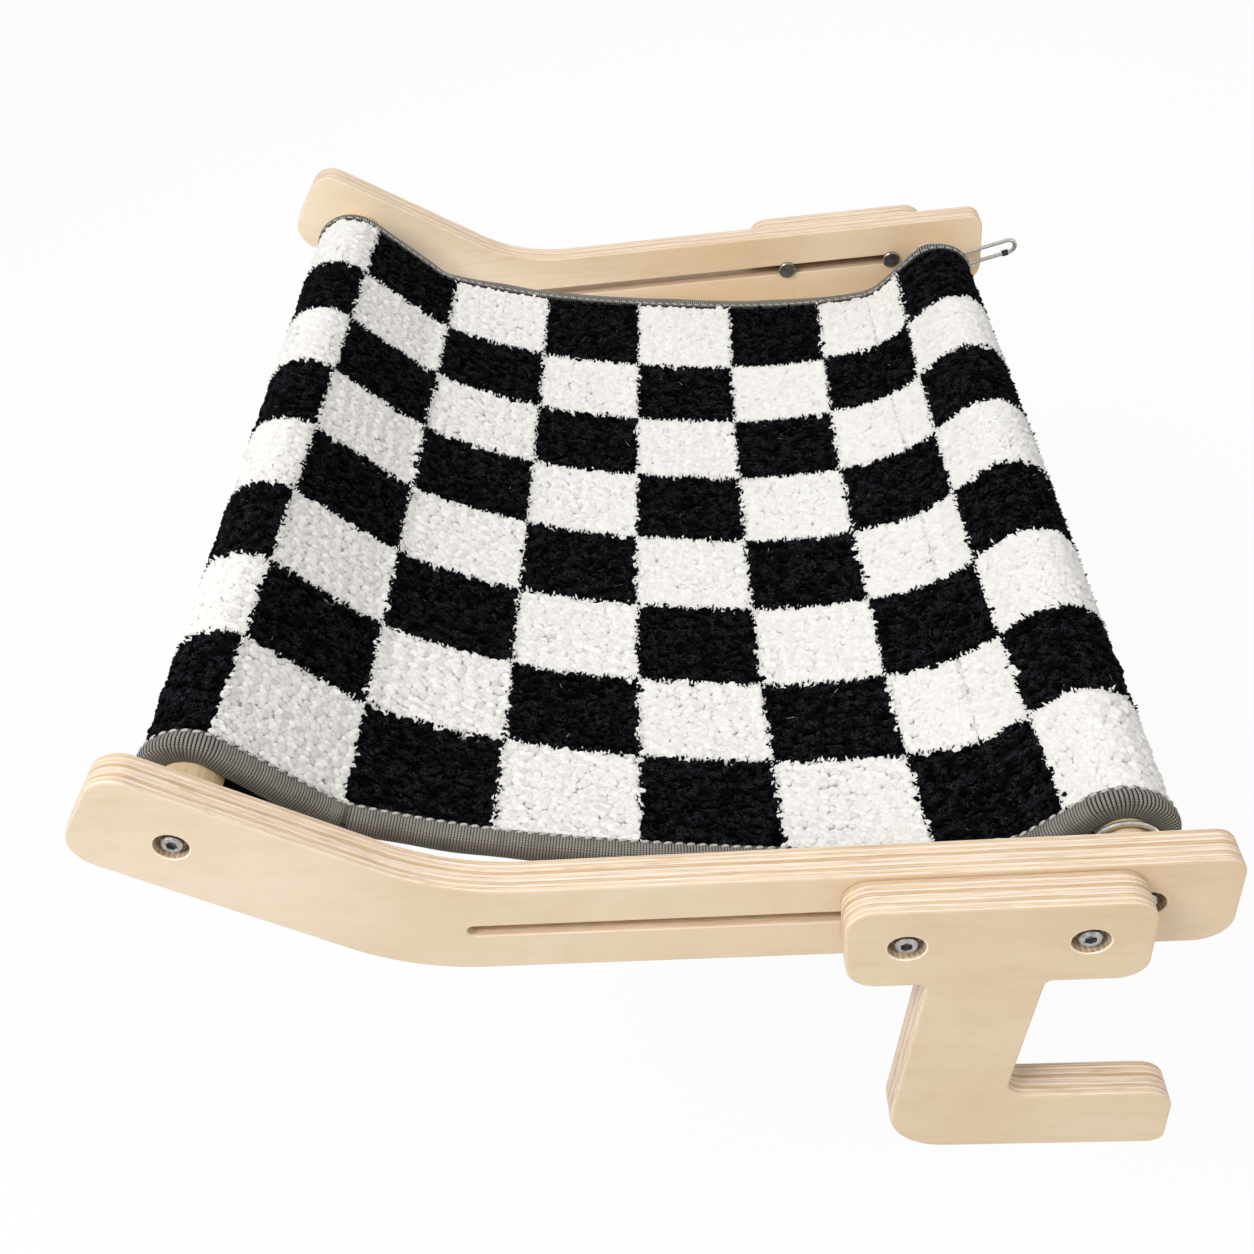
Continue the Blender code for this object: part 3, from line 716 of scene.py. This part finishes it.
def on_sheet(line, run, y, lift):
    """Points of the sheet at these runs along a line, widths and heights above it."""
    point, normal, drop = line.at(run)
    across = np.clip((2 * y - sheet_near_y - sheet_far_y) / (sheet_far_y - sheet_near_y), -1, 1)
    low = sheet_middle_sag * drop * (1 - across ** sheet_middle_power)
    x = point[..., 0] + normal[..., 0] * lift
    z = point[..., 1] + normal[..., 1] * lift - low
    return np.stack([x, y + 0 * x, z], axis=-1)


def curve(factors, u):
    """Value at u of the polynomial with these factors."""
    return sum(factor * u ** power for power, factor in enumerate(factors))


def row_shift(run):
    """How far the stretched cloth's rows of checks stand off a straight line."""
    u = np.clip((run - stretch_middle) / stretch_half_run, -1, row_stretch_end)
    return curve(row_stretch, u) / millimetres_per_metre


def row_of(run, y):
    """Number of the row of checks, counted from the near edge."""
    return np.searchsorted(row_edges, y - row_shift(run))


def check_shift(run, y):
    """How far the stretched cloth's columns of checks stand off an even grid."""
    u = (run - stretch_middle) / stretch_half_run
    over_rear = rear_overrun * np.clip((u - rear_overrun_start) / rear_overrun_share, 0, 1)
    u = np.clip(u, -1, column_stretch_end)
    v = y / stretch_half_width
    bow, slant, bend = (curve(factors, u) for factors in (column_bow, column_slant, column_bend))
    return (bow + slant * v + bend * v ** 2 + over_rear) / millimetres_per_metre


def whiteness(run, y):
    """1 on the white checks and 0 on the black ones."""
    column = np.floor((run - check_shift(run, y) - check_start) / check_length)
    return (column + row_of(run, y) + 1) % 2


def mesh_object(name, points, faces, material):
    mesh = bpy.data.meshes.new(name)
    mesh.from_pydata(np.asarray(points).tolist(), [], faces)
    mesh.validate()
    return placed(mesh, material)


def placed(mesh, material):
    """Puts a mesh into the scene, smooth and with its material."""
    mesh.shade_smooth()
    mesh.materials.append(material)
    return linked(mesh)


def linked(data):
    """Puts a mesh, camera or lamp into the scene."""
    made = bpy.data.objects.new(data.name, data)
    bpy.context.scene.collection.objects.link(made)
    return made


def put(mesh, name, values, kind="FLOAT"):
    """Gives each point of a mesh a value that its material reads."""
    layer = mesh.attributes.new(name, kind, "POINT")
    field = "vector" if kind == "FLOAT_VECTOR" else "value"
    layer.data.foreach_set(field, np.ascontiguousarray(values, np.float32).ravel())


def quads(rows, columns, closed=False):
    """Faces of a grid of points laid out row by row."""
    last = columns if closed else columns - 1
    return [
        (i * columns + j, i * columns + (j + 1) % columns,
         (i + 1) * columns + (j + 1) % columns, (i + 1) * columns + j)
        for i in range(rows - 1)
        for j in range(last)
    ]


def make_backing(material):
    """The cloth itself, from which the pile stands up."""
    runs = np.linspace(0, top_line.length, backing_columns)
    under_runs = runs / top_line.length * under_line.length
    ys = np.linspace(sheet_near_y, sheet_far_y, backing_rows)
    points, white, lining, place = [], [], [], []
    for y in ys:
        outer = on_sheet(top_line, runs, y, -pile_depth)
        inner = on_sheet(under_line, under_runs[::-1], y, lining_lift)
        points += [outer, inner]
        pale = whiteness(runs, y)
        white += [pale, pale[::-1]]
        lining += [np.zeros(len(runs)), np.ones(len(runs))]
        place += [np.stack([runs, 0 * runs + y, 0 * runs], -1)] * 2
    points = np.concatenate(points)
    columns = 2 * len(runs)
    faces = quads(len(ys), columns, closed=True)
    for start in (0, (len(ys) - 1) * columns):
        for i in range(len(runs) - 1):
            other = columns - 1 - i
            faces.append((start + i, start + i + 1, start + other - 1, start + other))
    made = mesh_object("fleece_backing", points, faces, material)
    put(made.data, "whiteness", np.concatenate(white))
    put(made.data, "lining", np.concatenate(lining))
    put(made.data, "cloth_place", np.concatenate(place), "FLOAT_VECTOR")
    fix_normals(made)
    return made


def fix_normals(made):
    shell = bmesh.new()
    shell.from_mesh(made.data)
    bmesh.ops.recalc_face_normals(shell, faces=shell.faces)
    shell.to_mesh(made.data)
    shell.free()


def wave_field(rng, count, shortest, longest):
    """A smooth random function of run and y, between about -1 and 1."""
    sizes = rng.uniform(shortest, longest, count)
    ways = rng.uniform(0, 2 * np.pi, count)
    starts = rng.uniform(0, 2 * np.pi, count)

    def field(run, y):
        total = 0
        for size, way, start in zip(sizes, ways, starts):
            total = total + np.sin((run * np.cos(way) + y * np.sin(way)) * 2 * np.pi / size + start)
        return total / math.sqrt(count)

    return field


class Shape:
    """One kind of tuft. A ring is its share of the height, its share of the width, and how much
    its light follows its own round side. The rest follows the cloth, which keeps the pile soft."""

    def __init__(self, rings, sides):
        self.rings = rings
        self.sides = sides
        self.bands = np.array(quads(len(rings), sides, closed=True))
        tip = len(rings) * sides
        last = tip - sides
        self.caps = np.array([(last + i, last + (i + 1) % sides, tip) for i in range(sides)])
        spread = [
            (math.cos(turn) * reach, math.sin(turn) * reach)
            for reach in np.linspace(cell_reach_share, 0.0, len(rings), endpoint=False)
            for turn in np.arange(sides) * 2 * math.pi / sides
        ]
        self.spread = np.array(spread + [(0.0, 0.0)])


tuft_rings = ((0.0, 0.90, 0.30), (0.38, 1.0, 0.28), (0.72, 0.84, 0.22), (0.92, 0.48, 0.12))
strand_rings = ((0.0, 1.0, 0.30), (0.50, 0.88, 0.28), (0.84, 0.52, 0.20))
tuft_shape = Shape(tuft_rings, sides=6)
strand_shape = Shape(strand_rings, sides=4)


def cloth_frame(run, y):
    """Directions along the cloth, across it and up from it."""
    step = cloth_step
    along = on_sheet(top_line, run + step, y, 0) - on_sheet(top_line, run - step, y, 0)
    across = on_sheet(top_line, run, y + step, 0) - on_sheet(top_line, run, y - step, 0)
    up = np.cross(along, across)
    return [way / np.linalg.norm(way, axis=1, keepdims=True) for way in (along, across, up)]


def grow(shape, rng, run, y, height, width, lean, white, tone, tilt=(0.0, 0.0)):
    """One batch of tufts that stand on the cloth at these places. The tilt turns their light."""
    count = len(run)
    spin = rng.uniform(0, 2 * np.pi, count)
    flat = rng.uniform(*flat_shares, count)
    runs, ys, lifts, rises, sideways = [], [], [], [], []
    for rise, girth, round_light in shape.rings:
        for side in range(shape.sides):
            turn = spin + 2 * np.pi * side / shape.sides
            out = width / 2 * girth * (1 + rng.normal(0, girth_spread, count))
            bend = rise ** tuft_bend_power
            runs.append(run + np.cos(turn) * out + lean[0] * height * bend)
            ys.append(y + np.sin(turn) * out * flat + lean[1] * height * bend)
            lifts.append(height * rise)
            rises.append(np.full(count, rise))
            level = np.full(count, math.sqrt(1 - round_light ** 2))
            facing = [np.cos(turn) * round_light, np.sin(turn) * round_light, level]
            sideways.append(np.stack(facing, 1))
    runs.append(run + lean[0] * height)
    ys.append(y + lean[1] * height)
    lifts.append(height)
    rises.append(np.ones(count))
    sideways.append(np.tile([0.0, 0.0, 1.0], (count, 1)))
    ys = np.clip(np.stack(ys, 1), sheet_near_y, sheet_far_y + pile_overhang)
    lifts = np.stack(lifts, 1) - pile_depth - pile_root
    points = on_sheet(top_line, np.stack(runs, 1), ys, lifts)
    ways = cloth_frame(run, y)
    light = np.einsum("ncw,wnx->ncx", np.stack(sideways, 1), np.stack(ways))
    tilt_run, tilt_y = (np.reshape(part, (-1, 1)) for part in tilt)
    light += (ways[0] * tilt_run + ways[1] * tilt_y)[:, None, :]
    light /= np.linalg.norm(light, axis=2, keepdims=True)
    corners = points.shape[1]
    values = {
        "whiteness": np.repeat(white[:, None], corners, 1),
        "tone": np.repeat(tone[:, None], corners, 1),
        "rise": np.stack(rises, 1),
    }
    half = np.where(run < top_line.length / 2, 0, 1)
    return {
        "shape": shape, "row": row_of(run, y), "half": half,
        "points": points, "light": light, "values": values,
    }


def pile_room(rng, run, y):
    """Which places are on the cloth and clear of the tape."""
    spread = pile_inset_spread * rng.random(y.shape)
    near_clear = y > sheet_near_y + near_pile_inset - spread
    far_clear = y < sheet_far_y - far_pile_inset + spread
    rear_end = top_line.length - pile_rear_clear
    return near_clear & far_clear & (run > pile_front_clear) & (run < rear_end)


def lay_tufts(rng):
    """Rounded tufts all over the cloth."""
    row_step = tuft_spacing * math.sqrt(3) / 2
    ys = np.arange(sheet_near_y, sheet_far_y, row_step)
    runs = np.arange(0, top_line.length, tuft_spacing)
    run, y = np.meshgrid(runs, ys)
    run = (run + (np.arange(len(ys)) % 2)[:, None] * tuft_spacing / 2).ravel()
    y = y.ravel()
    run = run + rng.normal(0, tuft_spacing * tuft_scatter_share, run.shape)
    y = y + rng.normal(0, tuft_spacing * tuft_scatter_share, y.shape)
    kept = pile_room(rng, run, y)
    run, y = run[kept], y[kept]
    count = len(run)
    clump = wave_field(rng, *clump_waves)
    lean_run, lean_y = wave_field(rng, *lean_waves), wave_field(rng, *lean_waves)
    white = whiteness(run, y)
    wild = 1 - white_calm * white
    unevenness = tuft_clump_share * clump(run, y) + rng.normal(0, tuft_height_share, count)
    height = (pile_depth + pile_tip) * (1 + wild * unevenness)
    lumps = wave_field(rng, *lump_waves)
    height += lump_height * lumps(run, y)
    step = lump_step
    tilt = (
        (lumps(run - step, y) - lumps(run + step, y)) / (2 * step) * lump_height * lump_shade,
        (lumps(run, y - step) - lumps(run, y + step)) / (2 * step) * lump_height * lump_shade,
    )
    width = tuft_width * (1 + white_plump * white) * (1 + rng.normal(0, tuft_width_share, count))
    lean = [
        tuft_lean * wild * (way(run, y) * tuft_wave_share + rng.normal(0, tuft_lean_spread, count))
        for way in (lean_run, lean_y)
    ]
    return grow(tuft_shape, rng, run, y, height, width, lean, white, rng.random(count), tilt)


def lay_strands(rng):
    """Slender strands along the edges of the checks, which fray into the next check."""
    runs = np.arange(0, top_line.length, strand_spacing)
    ys = np.arange(sheet_near_y, sheet_far_y, strand_spacing)
    run, y, way_run, way_y = [], [], [], []
    for side in (-1, 1):
        for edge in row_edges:
            inside = strand_reach * rng.random(len(runs))
            run.append(runs + rng.normal(0, strand_scatter, len(runs)))
            y.append(edge + row_shift(runs) + side * inside)
            way_run.append(np.zeros(len(runs)))
            way_y.append(np.full(len(runs), -side))
        first = math.floor(-check_start / check_length)
        for number in range(first, first + math.ceil(top_line.length / check_length) + 2):
            inside = strand_reach * rng.random(len(ys))
            even = check_start + number * check_length
            run.append(even + check_shift(even, ys) + side * inside)
            y.append(ys + rng.normal(0, strand_scatter, len(ys)))
            way_run.append(np.full(len(ys), -side))
            way_y.append(np.zeros(len(ys)))
    run, y, way_run, way_y = (np.concatenate(v) for v in (run, y, way_run, way_y))
    kept = pile_room(rng, run, y)
    run, y, way_run, way_y = run[kept], y[kept], way_run[kept], way_y[kept]
    count = len(run)
    height = strand_height * (1 + rng.normal(0, strand_height_share, count))
    width = strand_width * (1 + rng.normal(0, strand_width_share, count))
    lean = [
        strand_lean * (strand_lean_share * way + rng.normal(0, strand_lean_spread, count))
        for way in (way_run, way_y)
    ]
    white = whiteness(run, y)
    return grow(strand_shape, rng, run, y, height, width, lean, white, rng.random(count))


def lay_strays(rng):
    """A few pale fibres lying on the black checks."""
    run = rng.uniform(0, top_line.length, stray_fibres * 2)
    y = rng.uniform(sheet_near_y, sheet_far_y, stray_fibres * 2)
    kept = pile_room(rng, run, y) & (whiteness(run, y) < 0.5)
    run, y = run[kept], y[kept]
    count = len(run)
    height = (pile_depth + pile_tip) * rng.uniform(*stray_rise_shares, count)
    lean = (rng.normal(0, stray_lean, count), rng.normal(0, stray_lean, count))
    width = np.full(count, stray_width)
    white = rng.uniform(*stray_whiteness, count)
    return grow(strand_shape, rng, run, y, height, width, lean, white, rng.random(count))


def make_pile(material):
    """Tufts, strands and stray fibres, in two pieces for each row of checks."""
    rng = np.random.default_rng(pile_seed)
    batches = [lay_tufts(rng), lay_strands(rng), lay_strays(rng)]
    return [
        pile_piece(f"fleece_row_{number + 1}_{end}", batches, number, half, material)
        for number in range(len(row_edges) + 1)
        for half, end in enumerate(("front", "rear"))
    ]


def pile_piece(name, batches, row, half, material):
    """One mesh of half a row's tufts. Each tuft has its own cell in the map that a bake uses."""
    chosen = [np.where((batch["row"] == row) & (batch["half"] == half))[0] for batch in batches]
    grid = math.ceil(math.sqrt(sum(len(mine) for mine in chosen)))
    points, light, spots, fours, threes = [], [], [], [], []
    values = {"whiteness": [], "tone": [], "rise": []}
    corner = cell = 0
    for batch, mine in zip(batches, chosen):
        shape = batch["shape"]
        corners = batch["points"].shape[1]
        start = corner + (np.arange(len(mine)) * corners)[:, None, None]
        fours.append((start + shape.bands).reshape(-1, 4))
        threes.append((start + shape.caps).reshape(-1, 3))
        number = cell + np.arange(len(mine))
        home = np.stack([number % grid, number // grid], 1)[:, None, :]
        spots.append(((home + 0.5 + shape.spread) / grid).reshape(-1, 2))
        points.append(batch["points"][mine].reshape(-1, 3))
        light.append(batch["light"][mine].reshape(-1, 3))
        for key in values:
            values[key].append(batch["values"][key][mine].ravel())
        corner += len(mine) * corners
        cell += len(mine)
    fours, threes = np.concatenate(fours), np.concatenate(threes)
    loops = np.concatenate([fours.ravel(), threes.ravel()]).astype(np.int32)
    starts = np.concatenate([np.arange(len(fours)) * 4, fours.size + np.arange(len(threes)) * 3])
    mesh = bpy.data.meshes.new(name)
    mesh.vertices.add(corner)
    mesh.vertices.foreach_set("co", np.concatenate(points).astype(np.float32).ravel())
    mesh.loops.add(len(loops))
    mesh.loops.foreach_set("vertex_index", loops)
    mesh.polygons.add(len(starts))
    mesh.polygons.foreach_set("loop_start", starts.astype(np.int32))
    mesh.update(calc_edges=True)
    for key, pieces in values.items():
        put(mesh, key, np.concatenate(pieces))
    bake_map = mesh.uv_layers.new(name="OFBake")
    bake_map.data.foreach_set("uv", np.concatenate(spots)[loops].astype(np.float32).ravel())
    made = placed(mesh, material)
    mesh.normals_split_custom_set_from_vertices(np.concatenate(light))
    return made


def tape_profile(edge, lip, fold):
    """Section of a tape, from its upper lip round the sheet's edge to its lower lip."""
    half = sheet_thickness / 2
    power = bend_squareness
    profile = [(edge - lip, half - lip_sink), (edge - lip * lip_crown_share, half + lip_crown)]
    for step in range(bend_steps + 1):
        share = 1 - step / (bend_steps / 2)
        square = (1 - abs(share) ** power) ** (1 / power)
        profile.append((edge - bend_reach + square * (webbing_bulge + bend_reach), share * fold))
    profile.append((edge - lip * under_lip_share, -half - under_lip_lift))
    return np.array(profile)


def make_webbing(side_name, material):
    """Ribbed tape folded round a free edge of the sheet."""
    side = SIDES[side_name]
    lip = webbing_lips[side]
    ribs = round(top_line.length / rib_pitch)
    runs = np.linspace(0, top_line.length, ribs * steps_per_rib + 1)
    rise = 0.5 - 0.5 * np.cos(np.arange(len(runs)) * 2 * np.pi / steps_per_rib)
    fold = sheet_thickness / 2 + tape_thickness
    profile = tape_profile(sheet_edges[side], lip, fold)
    steps = np.linalg.norm(np.diff(profile, axis=0), axis=1)
    across = np.concatenate([[0], np.cumsum(steps)])
    flow = np.gradient(profile, axis=0)
    flow /= np.linalg.norm(flow, axis=1, keepdims=True)
    outward = np.stack([-flow[:, 1], flow[:, 0]], 1)
    centre_runs = runs / top_line.length * centre_line.length
    rng = np.random.default_rng(webbing_seed + side)
    wander_out, wander_up = wave_field(rng, *wander_waves), wave_field(rng, *wander_waves)
    fold_run = top_line.run_at(fold_x)
    pinch = np.exp(-((runs - fold_run) / fold_width) ** 2) * (side == near_side)
    wave = 0.5 + 0.5 * np.cos(runs * 2 * np.pi / stitch_pitch)
    rings, place = [], []
    for spot, out, reach in zip(profile, outward, across):
        out = out if out @ np.array([1, spot[1] / fold]) > 0 else -out
        free = min(1.0, max(0.0, (spot[0] - sheet_edges[side] + lip) / lip))
        aside = webbing_wander * wander_out(runs, 0) * free - fold_depth * pinch * free
        sunk = fold_depth * fold_sink_share * pinch * (spot[1] > 0) * free
        rise_up = webbing_wander * wander_up(runs, 0) * free - sunk
        frill = scallop * wave * (reach < lip * scallop_share)
        y = side * (spot[0] + out[0] * rib_height * rise + aside - frill)
        lift = spot[1] + out[1] * rib_height * rise + rise_up
        rings.append(on_sheet(centre_line, centre_runs, y, lift))
        along = np.arange(len(runs)) * rib_pitch / steps_per_rib
        place.append(np.stack([along, 0 * runs + reach, pinch], -1))
    points = np.stack(rings, 1).reshape(-1, 3)
    faces = quads(len(runs), len(profile))
    made = mesh_object(f"{side_name}_tape", points, faces, material)
    put(made.data, "tape_place", np.stack(place, 1).reshape(-1, 3), "FLOAT_VECTOR")
    thick = made.modifiers.new("thickness", "SOLIDIFY")
    thick.thickness = tape_thickness
    thick.offset = -side
    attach(made, "frame")
    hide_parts(f"{side_name}_webbing")
    return made


def make_stitches(side_name, material):
    """Row of stitches along the tape's inner edge."""
    side = SIDES[side_name]
    shell = bmesh.new()
    radius = stitch_radii[side]
    y = side * (sheet_edges[side] - webbing_lips[side] + stitch_inset)
    for i in range(int(top_line.length / stitch_pitch)):
        middle_run = (i + 0.5) * stitch_pitch
        runs = np.array([middle_run - stitch_length / 2, middle_run + stitch_length / 2])
        ys = np.array([y + side * stitch_slant, y - side * stitch_slant])
        first, last = (Vector(end) for end in on_sheet(top_line, runs, ys, stitch_lift))
        along = last - first
        turn = along.to_track_quat("Z", "Y").to_matrix().to_4x4()
        longer = Matrix.Diagonal((1, 1, along.length / 2 / radius, 1))
        spot = Matrix.Translation((first + last) / 2) @ turn @ longer
        bmesh.ops.create_uvsphere(shell, u_segments=8, v_segments=6, radius=radius, matrix=spot)
    shell.verts.sort(key=lambda corner: corner.co.dot(order_way))
    shell.faces.sort(key=lambda face: face.calc_center_median().dot(order_way))
    mesh = bpy.data.meshes.new(f"{side_name}_stitches")
    shell.to_mesh(mesh)
    shell.free()
    made = placed(mesh, material)
    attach(made, "frame")
    return made


def dress(names, material):
    """Gives carried-over parts their finish."""
    for name in names:
        mesh = nodes[name].data
        mesh.materials.clear()
        mesh.materials.append(material)


def dress_wood():
    screws = [middle_of("far_front_screw"), middle_of("far_rear_screw")]
    bolts = [middle_of("far_room_bolt"), middle_of("far_window_bolt")]
    arm_seats = [(p.x, p.x, p.z, seat_radius) for p in screws]
    hook_seats = [(p.x, p.x, p.z, seat_radius) for p in bolts]
    slot = (slot_start_x + slot_radius, slot_end_x - slot_radius, bolts[0].z, slot_radius)
    arm = (arm_outer_y, arm_inner_y, arm_seats, [slot])
    # Tones of each piece; the hook's darker tones are painted shade, for the less light on its faces
    near_tone = ("#E9D8BF", "#DFC9A9", "#CBAD85")
    far_tone = ("#F0DFC6", "#E8D1AE", "#D2B38A")
    hook_shaded_tone = ("#E1CBAC", "#D8BE99", "#C5A57B")
    # The tint after the tones is painted shade towards the window
    near = plywood("near_plywood", *arm, near_tone, (0.95, 0.90, 0.85))
    # The far arm's low tint is painted shade below its slot
    far = plywood("far_plywood", *arm, far_tone, (0.95, 0.87, 0.79), low=(0.90, 0.85, 0.77))
    hook_part = (hook_outer_y, hook_inner_y, hook_seats, [])
    hook = plywood("hook_plywood", *hook_part, hook_shaded_tone, plain_white)
    dress(["near_arm"], near)
    dress(["far_arm"], far)
    dress(["near_hook", "far_hook"], hook)
    dress(["front_dowel", "rear_dowel"], turned_wood("dowel_wood"))


def dress_metal():
    brass = brass_metal("plain_brass")
    rubber = soft_rubber("black_rubber")
    # The screws' recess share sets painted shade in their sockets
    bright = steel("zinc_plated_steel", "#B9B8B4", "#86857F", 0.34, 0.2, recess=0.40)
    washer = steel("washer_steel", "#B4B3AE", "#807F7A", 0.36, 0.2)
    # The wire's below tint is painted shade and reflection on its underside
    wire = steel("polished_wire", "#FBFAF6", "#DAD8D2", 0.16, 0.12, below="#7C7973")
    dark = steel("dark_nickel", "#9F9B93", "#66635D", 0.33, 0.2)
    for side in SIDES:
        for place in ("front", "rear"):
            dress([f"{side}_{place}_screw"], bright)
            dress([f"{side}_{place}_washer"], washer)
            dress([f"{side}_{place}_insert"], brass)
        for place in ("room", "window"):
            dress([f"{side}_{place}_bolt"], bright)
            dress([f"{side}_{place}_washer"], washer)
            dress([f"{side}_{place}_nut"], dark)
        dress([f"{side}_clip"], wire)
        dress([f"{side}_clip_tip"], rubber)


def make_fleece():
    backing = make_backing(fleece_backing("fleece_cloth"))
    pile = make_pile(fleece_pile("fleece_pile"))
    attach(backing, "frame")
    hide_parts("hammock_sheet")
    for piece in pile:
        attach(piece, "frame")
    tape = ribbed_webbing("grey_tape")
    thread = sewing_thread("grey_thread")
    for side in SIDES:
        make_webbing(side, tape)
        make_stitches(side, thread)


def make_camera():
    """The photograph's viewpoint."""
    right = Vector(camera_right)
    back = right.cross(Vector(camera_up)).normalized()
    up = back.cross(right).normalized()
    data = bpy.data.cameras.new("camera")
    data.sensor_width = sensor_width
    data.lens = photo_focal_length / photo_size * data.sensor_width
    data.shift_x = (photo_size / 2 - photo_axis_x) / photo_size
    data.shift_y = (photo_axis_y - photo_size / 2) / photo_size
    camera = linked(data)
    turn = Matrix((right, up, back)).transposed().to_4x4()
    camera.matrix_world = Matrix.Translation(camera_place) @ turn
    bpy.context.scene.camera = camera


def make_lamp(name, place, width, watts):
    data = bpy.data.lights.new(name, "AREA")
    data.shape = "DISK"
    data.size = width
    data.energy = watts
    lamp = linked(data)
    lamp.location = place
    aim = Vector(lamp_target) - Vector(place)
    lamp.rotation_euler = aim.to_track_quat("-Z", "Y").to_euler()


def make_floor():
    """Wide pale floor well below the hammock, nearly white to the camera."""
    r = Recipe("pale_floor")
    light_path = r.node("ShaderNodeLightPath").socket.node
    rays = ("Is Camera Ray", "Is Glossy Ray", "Is Transmission Ray")
    camera_ray, glossy_ray, clear_ray = (Flow(r, light_path.outputs[ray]) for ray in rays)
    plain = camera_ray.most(glossy_ray).most(clear_ray) * floor_glow
    r.finish(Base_Color=floor_tint, Roughness=0.9)
    glow = r.node("ShaderNodeEmission", values={"Color": plain_white, "Strength": 1.0})
    lit = Flow(r, r.shader.outputs[0])
    mixed = r.node("ShaderNodeMixShader", values={0: plain, 1: lit, 2: glow})
    output = r.tree.nodes["Material Output"]
    r.tree.links.new(mixed.socket, output.inputs["Surface"])
    corners = ((-1, -1), (1, -1), (1, 1), (-1, 1))
    points = [(x * floor_reach, y * floor_reach, floor_level) for x, y in corners]
    floor = mesh_object("floor", points, [(0, 1, 2, 3)], r.material)


def make_world():
    """Plain white to the camera, and softer light on the object."""
    world = bpy.data.worlds.new("studio")
    world.use_nodes = True
    bpy.context.scene.world = world
    tree = world.node_tree
    light_path = tree.nodes.new("ShaderNodeLightPath")
    lit = tree.nodes["Background"]
    plain = tree.nodes.new("ShaderNodeBackground")
    for node, tint, strength in ((lit, room_tint, room_light), (plain, plain_white, 1.0)):
        node.inputs["Color"].default_value = (*tint, 1)
        node.inputs["Strength"].default_value = strength
    either = tree.nodes.new("ShaderNodeMath")
    either.operation = "MAXIMUM"
    tree.links.new(light_path.outputs["Is Camera Ray"], either.inputs[0])
    tree.links.new(light_path.outputs["Is Transmission Ray"], either.inputs[1])
    mixed = tree.nodes.new("ShaderNodeMixShader")
    for i, node in enumerate((either, lit, plain)):
        tree.links.new(node.outputs[0], mixed.inputs[i])
    tree.links.new(mixed.outputs[0], tree.nodes["World Output"].inputs["Surface"])


dress_wood()
dress_metal()
make_fleece()
make_camera()
for lamp in LAMPS:
    make_lamp(*lamp)
make_world()
make_floor()
bpy.context.scene.view_settings.view_transform = "Standard"
